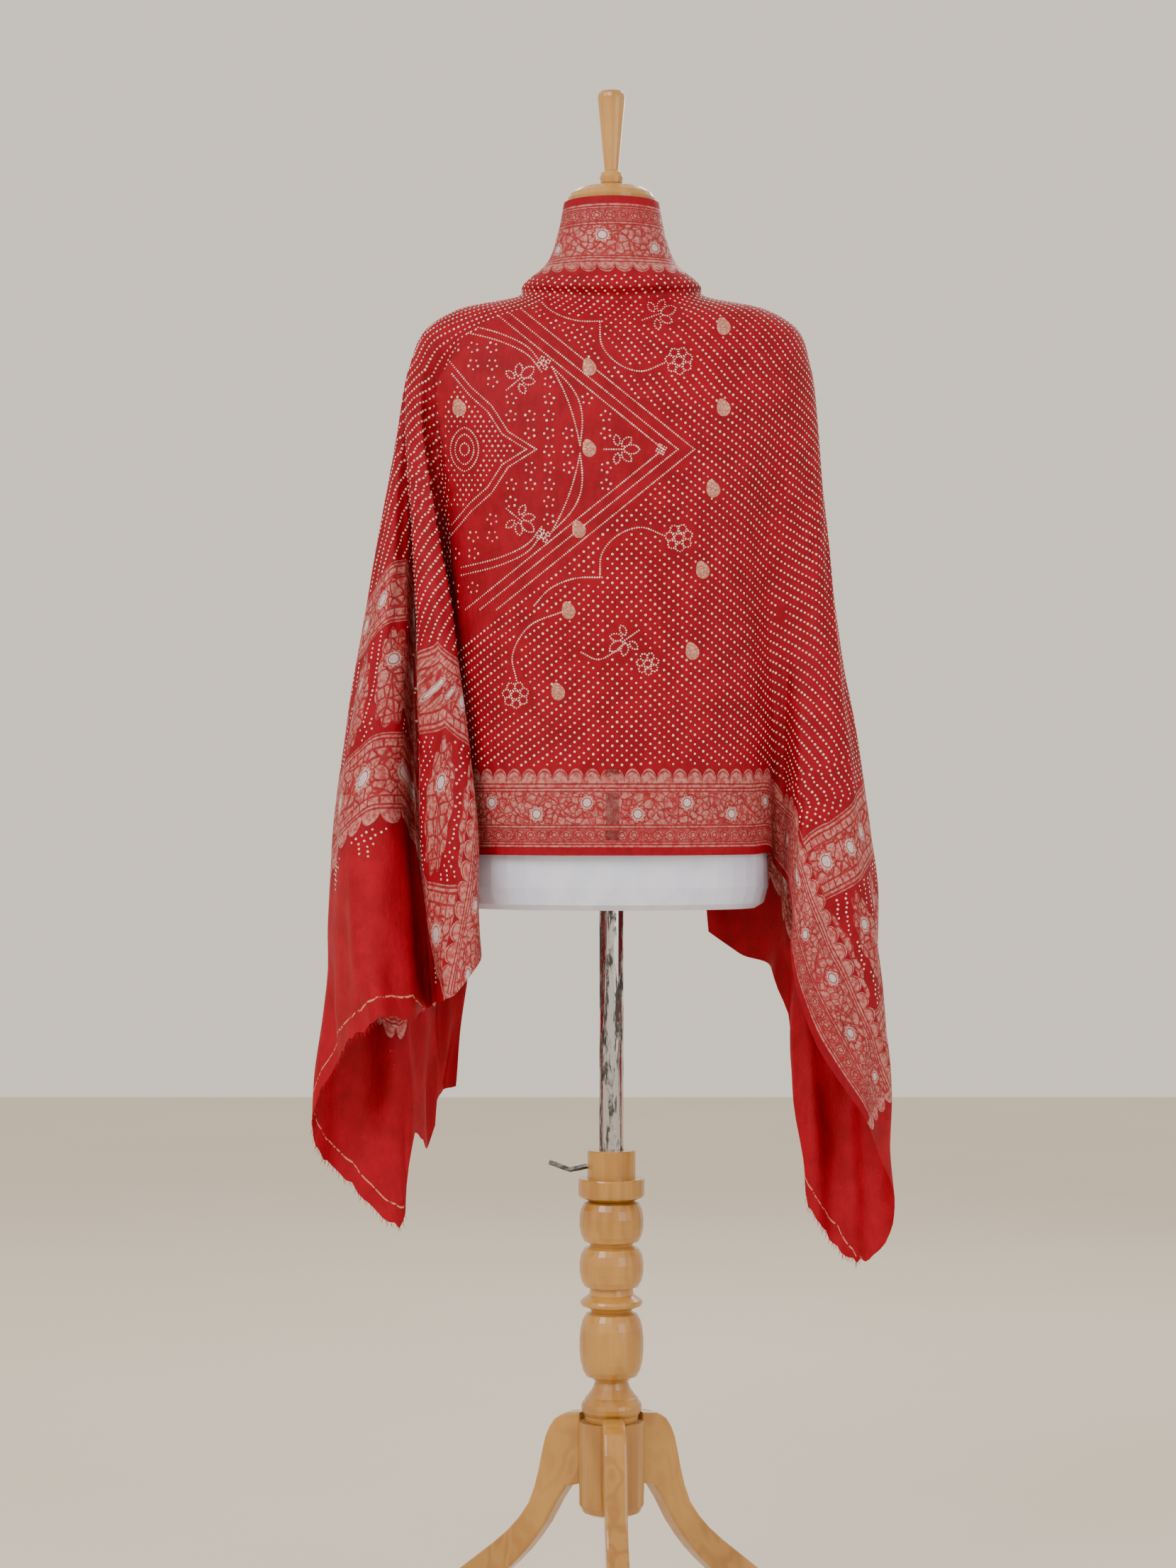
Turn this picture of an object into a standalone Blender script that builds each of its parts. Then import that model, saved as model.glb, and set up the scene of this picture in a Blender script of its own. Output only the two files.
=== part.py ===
"""A tie-dyed bandhani cloth draped like a cape over a dress form on a turned wooden tripod stand.

Metres, +Z up. The front faces -Y. Everything is first placed round the stand's own axis, and an empty
then carries it so that the origin is the middle of the bounding box, on the floor.
"""

import math
from collections import namedtuple

import bpy
import numpy as np
from mathutils import Matrix, Vector

FLOOR_GAP = 0.0003          # between pieces that touch
CLOTH_THICKNESS = 0.002
SEAT = 0.0018               # from the cloth's middle surface in to the form, radially and down
LOOSE_SEAT = 0.0065         # the same over the shoulders

# Stand
POLE_RADIUS = 0.0120
POLE_FOOT = 0.480
FORM_BOTTOM = 0.768
POST_BOTTOM = 0.257
POST_TOP = 0.5265
SOCKET_DEPTH = 0.050
SOCKET_RADIUS = 0.0124
HUB_BOTTOM = 0.164
HUB_RADIUS = 0.0325
LEG_THICKNESS = 0.022
LEG_ROUNDING = 0.0025
LEG_TURNS = {"leg_front": 3.0, "leg_right": 123.0, "leg_left": 243.0}   # degrees from the front
NECK_TOP = 1.469
ROUND_STEPS = 28

CLOTH_RED = (0.60, 0.012, 0.028)
FORM_WHITE = (0.70, 0.72, 0.80)
BEECH = (0.66, 0.39, 0.14)
CHROME = (0.62, 0.62, 0.63)
STEEL = (0.20, 0.19, 0.18)

# Rings of the cloth from the neck edge to the bust. A ring is wide by `half`, reaches `front` and `back`
# from the axis, and its height runs from `side` at the shoulders to `fore` in front and `rear` behind.
Ring = namedtuple("Ring", "half front back side fore rear")
CLOTH_RINGS = [
    Ring(0.0475, 0.0475, 0.0475, 1.469, 1.469, 1.469),    # neck edge
    Ring(0.0530, 0.0515, 0.0510, 1.441, 1.440, 1.443),    # neck
    Ring(0.0640, 0.0580, 0.0570, 1.410, 1.408, 1.415),    # neck base
    Ring(0.0890, 0.0785, 0.0700, 1.386, 1.377, 1.391),    # collar roll
    Ring(0.0900, 0.0700, 0.0660, 1.378, 1.366, 1.383),    # tuck under the roll
    Ring(0.1560, 0.0880, 0.0820, 1.362, 1.335, 1.350),    # shoulder slope
    Ring(0.1870, 0.1010, 0.0900, 1.341, 1.300, 1.310),    # shoulder edge
    Ring(0.2000, 0.1110, 0.0960, 1.300, 1.255, 1.265),    # yoke, where the cloth leaves the form
]
# The front panel bridges the waist and spreads round the sides on its way down.
FRONT_RINGS = [
    (1.06, Ring(0.1760, 0.1200, 0.1000, 1.165, 1.165, 1.165)),
    (1.18, Ring(0.1660, 0.1150, 0.1000, 1.000, 1.000, 1.000)),
    (1.28, Ring(0.1630, 0.1080, 0.1000, 0.822, 0.822, 0.822)),
]
# The form under it, below the yoke.
FORM_RINGS = [
    Ring(0.1760, 0.0980, 0.0840, 1.310, 1.270, 1.280),
    Ring(0.1580, 0.1030, 0.0840, 1.270, 1.235, 1.240),
    Ring(0.1500, 0.1130, 0.0860, 1.180, 1.170, 1.180),
    Ring(0.1260, 0.0880, 0.0740, 1.010, 1.010, 1.010),
    Ring(0.1540, 0.0970, 0.0980, 0.880, 0.880, 0.880),
    Ring(0.1565, 0.0960, 0.0980, 0.790, 0.790, 0.790),
    Ring(0.1520, 0.0920, 0.0940, 0.7735, 0.7735, 0.7735),
    Ring(0.1430, 0.0840, 0.0860, 0.768, 0.768, 0.768),
]

# A fold line runs from the neck over the yoke to the hem. `turn` is where it crosses the yoke, in degrees
# from the front towards +X, and `out` scales the yoke's reach there. It then passes the waist, the hips and
# the hem at (x, y) points, the first two at fixed heights.
Fold = namedtuple("Fold", "turn out waist_x waist_y hip_x hip_y hem_x hem_y hem_z")
WAIST_HEIGHT = 1.030
HIP_HEIGHT = 0.842
FRONT_TURNS = [-58, -44, -30, -15, 0, 15, 30, 45, 58]
LEFT_FOLDS = [
    Fold(-64, 0.92, -0.162, -0.018, -0.162, 0.008, -0.161, 0.010, 0.813),    # valley, front panel's side
    Fold(-67, 0.91, -0.171, -0.018, -0.171, 0.008, -0.169, 0.010, 0.800),    # valley, inner fold's side
    Fold(-69, 0.96, -0.178, -0.040, -0.178, -0.036, -0.176, -0.034, 0.772),  # hidden side of the inner fold
    Fold(-70, 1.00, -0.152, -0.070, -0.128, -0.092, -0.128, -0.094, 0.725),  # inner fold, right ridge
    Fold(-76, 1.02, -0.170, -0.078, -0.152, -0.106, -0.150, -0.110, 0.690),  # inner fold, front
    Fold(-81, 1.02, -0.190, -0.058, -0.183, -0.078, -0.167, -0.082, 0.680),  # inner fold, left side
    Fold(-83, 0.96, -0.190, -0.020, -0.186, -0.022, -0.174, -0.030, 0.675),  # valley, inner fold's side
    Fold(-86, 0.96, -0.197, -0.016, -0.195, -0.020, -0.184, -0.028, 0.669),  # valley, outer fold's side
    Fold(-89, 0.99, -0.203, -0.036, -0.204, -0.052, -0.194, -0.070, 0.664),  # outer fold, right side
    Fold(-92, 1.02, -0.222, -0.050, -0.238, -0.078, -0.230, -0.096, 0.662),  # outer fold, front
    Fold(-96, 1.02, -0.240, -0.034, -0.262, -0.056, -0.256, -0.066, 0.640),  # outer fold, left of the front
    Fold(-101, 1.01, -0.250, -0.006, -0.276, -0.012, -0.274, -0.018, 0.612), # outer silhouette
    Fold(-109, 1.00, -0.240, 0.034, -0.262, 0.034, -0.300, 0.020, 0.532),    # low corner behind
    Fold(-118, 1.02, -0.216, 0.050, -0.246, 0.054, -0.262, 0.046, 0.487),    # end edge
    Fold(-126, 1.00, -0.190, 0.052, -0.216, 0.048, -0.214, 0.042, 0.444),    # lowest tip
    Fold(-134, 1.02, -0.170, 0.067, -0.190, 0.066, -0.200, 0.060, 0.535),    # notch after the tip
    Fold(-143, 1.06, -0.152, 0.096, -0.174, 0.108, -0.186, 0.092, 0.518),    # small tip
    Fold(-155, 1.03, -0.118, 0.109, -0.152, 0.124, -0.178, 0.112, 0.568),    # back panel
    Fold(-171, 1.00, -0.078, 0.110, -0.126, 0.128, -0.162, 0.126, 0.578),    # back edge
]
RIGHT_FOLDS = [
    Fold(64, 1.00, 0.162, -0.042, 0.162, -0.014, 0.162, -0.010, 0.810),      # valley, front panel's side
    Fold(69, 1.00, 0.172, -0.041, 0.171, -0.014, 0.170, -0.010, 0.800),      # valley, far side
    Fold(75, 1.00, 0.182, -0.043, 0.178, -0.050, 0.175, -0.048, 0.784),      # strip of border past the valley
    Fold(81, 1.00, 0.194, -0.045, 0.188, -0.062, 0.175, -0.066, 0.716),      # turned-down edge, top
    Fold(88, 1.00, 0.208, -0.042, 0.212, -0.064, 0.200, -0.062, 0.636),      # turned-down edge, middle
    Fold(95, 1.00, 0.221, -0.028, 0.244, -0.042, 0.250, -0.042, 0.556),      # turned-down edge, bottom
    Fold(103, 0.99, 0.228, -0.002, 0.258, 0.000, 0.281, -0.006, 0.470),      # outer silhouette
    Fold(111, 1.00, 0.222, 0.032, 0.254, 0.040, 0.256, 0.022, 0.411),        # lowest tip
    Fold(120, 1.00, 0.203, 0.056, 0.228, 0.068, 0.228, 0.034, 0.424),        # end edge
    Fold(129, 0.98, 0.180, 0.060, 0.202, 0.062, 0.198, 0.026, 0.470),        # inner corner
    Fold(138, 1.00, 0.159, 0.072, 0.180, 0.074, 0.184, 0.058, 0.600),        # turn behind the corner
    Fold(147, 1.02, 0.138, 0.094, 0.158, 0.104, 0.166, 0.088, 0.700),        # back panel
    Fold(158, 1.02, 0.103, 0.108, 0.126, 0.122, 0.134, 0.118, 0.716),        # back panel
    Fold(171, 1.00, 0.063, 0.108, 0.092, 0.120, 0.101, 0.122, 0.738),        # back edge
]
NECK_SPREAD = 168.0         # the cloth's two back edges leave the neck at plus and minus this turn
SPANS = 2                   # columns of the mesh between two fold lines
ROWS_BELOW_YOKE = 19
ROWS_ON_RING = [1, 1, 1, 1, 2, 1, 2]


def clear_scene():
    for obj in list(bpy.data.objects):
        bpy.data.objects.remove(obj)


def material(name, colour, roughness, metallic=0.0):
    made = bpy.data.materials.new(name)
    made.use_nodes = True
    shader = made.node_tree.nodes["Principled BSDF"]
    shader.inputs["Base Color"].default_value = (*colour, 1.0)
    shader.inputs["Roughness"].default_value = roughness
    shader.inputs["Metallic"].default_value = metallic
    return made


def collection(name):
    made = bpy.data.collections.new(name)
    bpy.context.scene.collection.children.link(made)
    return made


def place(obj, where, finish=None):
    for home in list(obj.users_collection):
        home.objects.unlink(obj)
    where.objects.link(obj)
    if finish:
        obj.data.materials.append(finish)
    return obj


def curve_through(points, at):
    """A smooth curve through the points, read at the fractional indices `at` (Catmull-Rom, centripetal)."""
    points = np.asarray(points, float)
    ends = [2 * points[0] - points[1], *points, 2 * points[-1] - points[-2]]
    read = []
    for u in at:
        i = min(int(u), len(points) - 2)
        p0, p1, p2, p3 = ends[i], ends[i + 1], ends[i + 2], ends[i + 3]
        k1 = max(np.linalg.norm(p1 - p0), 1e-6) ** 0.5
        k2 = k1 + max(np.linalg.norm(p2 - p1), 1e-6) ** 0.5
        k3 = k2 + max(np.linalg.norm(p3 - p2), 1e-6) ** 0.5
        t = k1 + (u - i) * (k2 - k1)
        a1 = (k1 - t) / k1 * p0 + t / k1 * p1
        a2 = (k2 - t) / (k2 - k1) * p1 + (t - k1) / (k2 - k1) * p2
        a3 = (k3 - t) / (k3 - k2) * p2 + (t - k2) / (k3 - k2) * p3
        b1 = (k2 - t) / k2 * a1 + t / k2 * a2
        b2 = (k3 - t) / (k3 - k1) * a2 + (t - k1) / (k3 - k1) * a3
        read.append((k2 - t) / (k2 - k1) * b1 + (t - k1) / (k2 - k1) * b2)
    return np.array(read)


def on_ring(ring, turn, out=1.0):
    """The point of a ring at a turn from the front, in degrees."""
    s, c = math.sin(math.radians(turn)), math.cos(math.radians(turn))
    reach, end = (ring.front, ring.fore) if c > 0 else (ring.back, ring.rear)
    height = ring.side + (end - ring.side) * c * c
    return np.array([ring.half * s * out, -reach * c * out, height])


def fold_line(neck_turn, turn, out, below):
    """One line down the cloth, as points from the neck edge to the hem, `below` being those under the yoke."""
    last = len(CLOTH_RINGS) - 1
    upper = []
    for i, ring in enumerate(CLOTH_RINGS):
        eased = (i / last) ** 1.5
        upper.append(on_ring(ring, neck_turn + (turn - neck_turn) * eased, 1 + (out - 1) * (i / last) ** 8))
    rows = []
    for i, parts in enumerate(ROWS_ON_RING):
        rows += [i + k / parts for k in range(parts)]
    on_form = curve_through(upper, rows)
    hanging = curve_through([upper[-2], upper[-1], *below], np.linspace(1, 1 + len(below), 160))
    along = np.concatenate([[0], np.cumsum(np.linalg.norm(np.diff(hanging, axis=0), axis=1))])
    even = np.linspace(0, along[-1], ROWS_BELOW_YOKE + 1)
    hanging = np.stack([np.interp(even, along, hanging[:, k]) for k in range(3)], axis=1)
    return np.concatenate([on_form, hanging])


def cloth_lines():
    folds = [("fold", f) for f in reversed(LEFT_FOLDS)]
    folds += [("front", t) for t in FRONT_TURNS]
    folds += [("fold", f) for f in RIGHT_FOLDS]
    lines = []
    for i, (kind, f) in enumerate(folds):
        neck_turn = NECK_SPREAD * (2 * i / (len(folds) - 1) - 1)
        if kind == "front":
            below = [on_ring(ring, f * spread) for spread, ring in FRONT_RINGS]
            lines.append(fold_line(neck_turn, f, 1.0, below))
        else:
            below = [(f.waist_x, f.waist_y, WAIST_HEIGHT), (f.hip_x, f.hip_y, HIP_HEIGHT), (f.hem_x, f.hem_y, f.hem_z)]
            lines.append(fold_line(neck_turn, f.turn, f.out, below))
    return np.array(lines)


def grid_mesh(name, grid):
    """A mesh of quads over a grid of points, columns first. Its faces look away from the body."""
    columns, rows = grid.shape[:2]
    faces = [
        (i * rows + j, i * rows + j + 1, (i + 1) * rows + j + 1, (i + 1) * rows + j)
        for i in range(columns - 1)
        for j in range(rows - 1)
    ]
    mesh = bpy.data.meshes.new(name)
    mesh.from_pydata([tuple(p) for p in grid.reshape(-1, 3)], [], faces)
    mesh.update()
    return mesh


def make_cloth(where, finish):
    """The cloth is one loft: fold lines down it, and a smooth run of columns across them."""
    lines = cloth_lines()
    across = np.linspace(0, len(lines) - 1, SPANS * (len(lines) - 1) + 1)
    rows = [curve_through(lines[:, j], across) for j in range(lines.shape[1])]
    grid = np.array(rows).transpose(1, 0, 2)
    obj = bpy.data.objects.new("bandhani_cloth", grid_mesh("bandhani_cloth", grid))
    shell = obj.modifiers.new("thickness", "SOLIDIFY")
    shell.thickness = CLOTH_THICKNESS
    shell.offset = 0.0
    obj.data.shade_smooth()
    return place(obj, where, finish)


def make_form(where, finish):
    """The body form: a loft of rings, closed at the neck and underneath."""
    seats = [SEAT, SEAT, SEAT, None, SEAT, LOOSE_SEAT, LOOSE_SEAT]
    rings = [Ring(*(value - seat for value in ring)) for ring, seat in zip(CLOTH_RINGS, seats) if seat] + FORM_RINGS
    steps = 44
    points = [on_ring(ring, 360 * k / steps) for ring in rings for k in range(steps)]
    faces = []
    for i in range(len(rings) - 1):
        for k in range(steps):
            nxt = (k + 1) % steps
            faces.append((i * steps + k, (i + 1) * steps + k, (i + 1) * steps + nxt, i * steps + nxt))
    faces.append(tuple(range(steps)))
    faces.append(tuple(reversed(range((len(rings) - 1) * steps, len(rings) * steps))))
    mesh = bpy.data.meshes.new("body_form")
    mesh.from_pydata([tuple(p) for p in points], [], faces)
    mesh.shade_smooth()
    return place(bpy.data.objects.new("body_form", mesh), where, finish)


def turned(name, profile, where, finish, steps=ROUND_STEPS):
    """A turned piece: a profile of (radius, height), outer side from top to bottom, spun round the axis."""
    mesh = bpy.data.meshes.new(name)
    edges = [(i, i + 1) for i in range(len(profile) - 1)]
    mesh.from_pydata([(r, 0.0, z) for r, z in profile], edges, [])
    obj = bpy.data.objects.new(name, mesh)
    spin = obj.modifiers.new("turning", "SCREW")
    spin.steps = spin.render_steps = steps
    spin.use_merge_vertices = True
    spin.merge_threshold = 0.0001
    spin.use_smooth_shade = True
    return place(obj, where, finish)


def bead(radius, waist, low, high, parts=7):
    """Points of a round bead between two heights, from its upper waist to its lower one."""
    points = []
    for k in range(parts + 1):
        a = math.pi * k / parts
        points.append((waist + (radius - waist) * math.sin(a) ** 0.75, (low + high) / 2 + (high - low) / 2 * math.cos(a)))
    return points


def make_post(where, finish):
    """The turned post: socket, flange, two beads, a disc, a long bead and a bell foot."""
    socket_floor = POST_TOP - SOCKET_DEPTH
    profile = [(0.0, socket_floor), (SOCKET_RADIUS, socket_floor), (SOCKET_RADIUS, POST_TOP)]
    profile += [(0.0232, POST_TOP), (0.0240, POST_TOP - 0.0012), (0.0240, 0.4985)]
    profile += [(0.0322, 0.4985), (0.0330, 0.4970), (0.0330, 0.4820), (0.0320, 0.4800)]
    profile += bead(0.0322, 0.0222, 0.4340, 0.4760)
    profile += bead(0.0322, 0.0212, 0.3890, 0.4310)
    profile += [(0.0222, 0.3830), (0.0300, 0.3775), (0.0314, 0.3750), (0.0300, 0.3720), (0.0212, 0.3685)]
    profile += bead(0.0322, 0.0200, 0.3000, 0.3655, parts=9)
    profile += [(0.0165, 0.2960), (0.0185, 0.2900), (0.0245, 0.2815), (0.0264, 0.2800), (0.0264, 0.2786)]
    profile += [(0.0296, 0.2750), (0.0304, 0.2715), (0.0296, 0.2670), (0.0270, 0.2625),
                (0.0262, POST_BOTTOM), (0.0, POST_BOTTOM)]
    return turned("turned_post", profile, where, finish)


def make_hub(where, cutters, finish):
    """The block under the post, with a flat cut for each leg."""
    top = POST_BOTTOM - FLOOR_GAP
    profile = [(0.0, top), (HUB_RADIUS, top), (HUB_RADIUS, HUB_BOTTOM + 0.010)]
    profile += [(0.0290, HUB_BOTTOM + 0.003), (0.0220, HUB_BOTTOM), (0.0, HUB_BOTTOM)]
    hub = turned("stand_hub", profile, where, finish)
    for name, turn in LEG_TURNS.items():
        bpy.ops.mesh.primitive_cube_add(size=1.0)
        cutter = bpy.context.object
        cutter.name = "flat_for_" + name
        cutter.data.transform(Matrix.Diagonal((0.026, 0.020, 0.140, 1.0)))
        spin = Matrix.Rotation(math.radians(turn), 4, "Z")
        cutter.matrix_world = spin @ Matrix.Translation((0, -hub_flat() - 0.010, HUB_BOTTOM + 0.045))
        cutter.hide_render = True
        cutter.display_type = "WIRE"
        place(cutter, cutters)
        cut = hub.modifiers.new("flat", "BOOLEAN")
        cut.operation = "DIFFERENCE"
        cut.object = cutter
    return hub


def hub_flat():
    """How far a flat on the hub lies from the axis."""
    return math.sqrt(HUB_RADIUS**2 - 0.013**2)


# The leg's outline seen from the side: how far it reaches from the axis, and its height.
LEG_UPPER_EDGE = [(0.047, 0.2620), (0.060, 0.2545), (0.070, 0.236), (0.0775, 0.203), (0.089, 0.168),
                  (0.113, 0.138), (0.147, 0.110), (0.185, 0.080), (0.222, 0.048), (0.252, 0.027), (0.276, 0.019)]
LEG_TOE = [(0.2850, 0.0135), (0.2865, 0.0060), (0.2800, 0.0)]
LEG_SOLE_HEEL = (0.246, 0.0)
LEG_LOWER_EDGE = [(0.228, 0.0065), (0.198, 0.029), (0.160, 0.060), (0.122, 0.090), (0.094, 0.117),
                  (0.071, 0.147), (0.057, 0.172), (0.046, 0.188)]


def make_leg(name, turn, where, finish):
    """A curved leg sawn from board with rounded edges, standing against its flat on the hub."""
    root = hub_flat() + FLOOR_GAP
    upper = curve_through(LEG_UPPER_EDGE, np.linspace(0, len(LEG_UPPER_EDGE) - 1, 21))
    lower = curve_through(LEG_LOWER_EDGE, np.linspace(0, len(LEG_LOWER_EDGE) - 1, 15))
    outline = [(root, 0.193), (root, 0.2640), *map(tuple, upper), *LEG_TOE, LEG_SOLE_HEEL, *map(tuple, lower)]
    data = bpy.data.curves.new(name, "CURVE")
    data.dimensions = "2D"
    data.fill_mode = "BOTH"
    data.extrude = LEG_THICKNESS / 2 - LEG_ROUNDING
    data.bevel_depth = LEG_ROUNDING
    data.bevel_resolution = 1
    data.offset = -LEG_ROUNDING
    spline = data.splines.new("POLY")
    spline.points.add(len(outline) - 1)
    for point, (reach, height) in zip(spline.points, outline):
        point.co = (reach, height, 0.0, 1.0)
    spline.use_cyclic_u = True
    obj = bpy.data.objects.new(name, data)
    upright = Matrix.Rotation(math.radians(90), 4, "X")
    obj.matrix_world = Matrix.Rotation(math.radians(turn - 90), 4, "Z") @ upright
    return place(obj, where, finish)


def make_pole(where, finish):
    bpy.ops.mesh.primitive_cylinder_add(radius=POLE_RADIUS, depth=FORM_BOTTOM - POLE_FOOT - FLOOR_GAP, vertices=32)
    pole = bpy.context.object
    pole.name = "chrome_pole"
    pole.location = (0, 0, (FORM_BOTTOM - FLOOR_GAP + POLE_FOOT) / 2)
    pole.data.set_sharp_from_angle(angle=math.radians(40))
    return place(pole, where, finish)


def make_clamp_lever(where, finish):
    """The bent steel rod that tightens the socket."""
    data = bpy.data.curves.new("clamp_lever", "CURVE")
    data.dimensions = "3D"
    data.bevel_depth = 0.0026
    data.bevel_resolution = 2
    data.use_fill_caps = True
    route = [(-0.0243, -0.0020, 0.5105), (-0.0330, -0.0024, 0.5085), (-0.0410, -0.0028, 0.5072),
             (-0.0450, -0.0032, 0.5084), (-0.0620, -0.0050, 0.5150)]
    spline = data.splines.new("POLY")
    spline.points.add(len(route) - 1)
    for point, co in zip(spline.points, route):
        point.co = (*co, 1.0)
    return place(bpy.data.objects.new("clamp_lever", data), where, finish)


def make_neck_fittings(where, finish):
    """The turned cap on the neck and the tapered handle on it."""
    foot = NECK_TOP - SEAT + FLOOR_GAP
    cap = [(0.0, 0.0195), (0.0180, 0.0192), (0.0330, 0.0160), (0.0410, 0.0110), (0.0438, 0.0060), (0.0425, 0.0)]
    turned("neck_cap", [(r, foot + z) for r, z in cap + [(0.0, 0.0)]], where, finish)
    base = foot + 0.0195 + FLOOR_GAP
    handle = [(0.0, 0.0940), (0.0110, 0.0935), (0.0134, 0.0905), (0.0138, 0.0870), (0.0112, 0.0600),
              (0.0080, 0.0260), (0.0070, 0.0150), (0.0102, 0.0125), (0.0118, 0.0080), (0.0108, 0.0025), (0.0092, 0.0)]
    turned("neck_handle", [(r, base + z) for r, z in handle + [(0.0, 0.0)]], where, finish, steps=20)


def centre_on_floor(name, objects):
    """Parents the objects to an empty that moves the middle of their box to the origin."""
    bpy.context.view_layer.update()
    graph = bpy.context.evaluated_depsgraph_get()
    corners = []
    for obj in objects:
        shown = obj.evaluated_get(graph)
        mesh = shown.to_mesh()
        corners += [shown.matrix_world @ v.co for v in mesh.vertices]
        shown.to_mesh_clear()
    low = Vector(min(c[k] for c in corners) for k in range(3))
    high = Vector(max(c[k] for c in corners) for k in range(3))
    carrier = bpy.data.objects.new(name, None)
    objects[0].users_collection[0].objects.link(carrier)
    carrier.location = (-(low.x + high.x) / 2, -(low.y + high.y) / 2, -low.z)
    for obj in objects + [o for o in bpy.data.objects if o.hide_render]:
        obj.parent = carrier


def main():
    clear_scene()
    where, cutters = collection("Bandhani cloth on dress form"), collection("Cutters")
    beech = material("beech", BEECH, 0.30)
    make_cloth(where, material("tie_dyed_silk", CLOTH_RED, 0.55))
    make_form(where, material("form_shell", FORM_WHITE, 0.45))
    make_neck_fittings(where, beech)
    make_pole(where, material("chrome", CHROME, 0.12, 1.0))
    make_post(where, beech)
    make_hub(where, cutters, beech)
    for name, turn in LEG_TURNS.items():
        make_leg(name, turn, where, beech)
    make_clamp_lever(where, material("dark_steel", STEEL, 0.35, 1.0))
    centre_on_floor("stand_place", [o for o in where.objects if o.type != "EMPTY"])


main()
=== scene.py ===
"""Looks for the bandhani cloth on its dress form: the draped silk with its tied dots, woven borders and
frayed ends, the pale form, the varnished beech stand and the worn pole, with painted dark reflections."""

import math
from collections import namedtuple

import bpy
import numpy as np
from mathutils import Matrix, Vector
from mathutils.bvhtree import BVHTree


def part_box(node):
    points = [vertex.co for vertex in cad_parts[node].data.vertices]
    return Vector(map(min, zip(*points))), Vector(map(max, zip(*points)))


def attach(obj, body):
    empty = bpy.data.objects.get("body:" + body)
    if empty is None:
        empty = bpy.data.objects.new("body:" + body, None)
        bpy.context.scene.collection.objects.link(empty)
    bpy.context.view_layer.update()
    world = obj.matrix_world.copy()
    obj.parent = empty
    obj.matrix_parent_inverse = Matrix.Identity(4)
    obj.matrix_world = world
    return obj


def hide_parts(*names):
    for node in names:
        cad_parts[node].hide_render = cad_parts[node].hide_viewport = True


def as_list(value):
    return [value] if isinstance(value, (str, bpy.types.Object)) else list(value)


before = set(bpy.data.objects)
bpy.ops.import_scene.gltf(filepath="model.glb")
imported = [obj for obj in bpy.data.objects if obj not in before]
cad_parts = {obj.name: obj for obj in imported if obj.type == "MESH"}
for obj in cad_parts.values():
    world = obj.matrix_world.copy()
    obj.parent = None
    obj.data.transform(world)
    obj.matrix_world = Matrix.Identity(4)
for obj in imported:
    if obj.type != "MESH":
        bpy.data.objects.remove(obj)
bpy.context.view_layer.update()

POLE_LOW, POLE_HIGH = (Vector(c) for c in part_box("chrome_pole"))
AXIS = np.array([(POLE_LOW.x + POLE_HIGH.x) / 2, (POLE_LOW.y + POLE_HIGH.y) / 2, 0.0])   # the stand's axis

# Camera: level and straight in front
CAMERA_REACH = 3.2
CAMERA_HEIGHT = 0.891
CAMERA_ASIDE = -0.0234
VIEW_HEIGHT = 1.5625          # metres of the picture's height, at the stand's axis
SENSOR_HEIGHT = 36.0          # millimetres
EYE = Vector((CAMERA_ASIDE, -CAMERA_REACH, CAMERA_HEIGHT))
DRAWING_PLANE = -0.115        # in y, at the chest: the places of the drawing are read on it

# The cloth's own measures
END_REACH = 0.515             # from the front panel's side edge to the cloth's end, along the hem
END_PLAIN = 0.200             # plain silk at the end

# The woven border, by the distance in from its selvedge
BORDER = 0.084
PLAIN_EDGE = 0.0080
BORDER_STRIPES = (0.0105, 0.0130, 0.0262, 0.0292, 0.0618, 0.0650, 0.0690)
SMALL_ZONE = (0.0140, 0.0252)
SMALL_MIDDLE, SMALL_PITCH, SMALL_RADIUS = 0.0196, 0.0118, 0.0054
MAIN_ZONE = (0.0302, 0.0608)
MAIN_MIDDLE, MAIN_PITCH, MAIN_RADIUS = 0.0455, 0.050, 0.0095
MAIN_SWING = 0.0055           # large flowers stand this far above and below the middle, in turn
VINE_SWING = 0.0095
SCALLOP_FOOT, SCALLOP_PITCH, SCALLOP_TALL = 0.0715, 0.016, 0.0125
SCALLOP_LINE = 0.0028         # its red line, in from the scallop's rim

# The woven end, by the distance from the cloth's end
END_BAND_B = (0.203, 0.280)
END_MOTIFS = (0.280, 0.390)
END_BAND_A = (0.390, 0.452)
END_BANDS = ((END_BAND_A, 0.0125), (END_BAND_B, 0.0150))   # with the radius of each band's flowers
END_FLOWER_PITCH = 0.042
END_STRIPES = (0.0020, 0.0060, 0.0145)   # in from either side of a band
END_BARS = (0.0065, 0.0140)
END_BAR_PITCH = 0.0105
END_CORE = 0.0150
END_SCALLOP_PITCH, END_SCALLOP_TALL = 0.018, 0.013
MOTIF_PITCH, MOTIF_WIDE, MOTIF_TALL = 0.050, 0.0190, 0.0490
MOTIF_HEART = 0.018           # its flower, above the motif's middle
PATCH_PITCH, PATCH_HALF = 0.055, 0.36     # patches of dots beyond the bands; the half is a share of a pitch
END_LINE = (0.0200, 0.0218)   # the thin gold line near the frayed end

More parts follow.
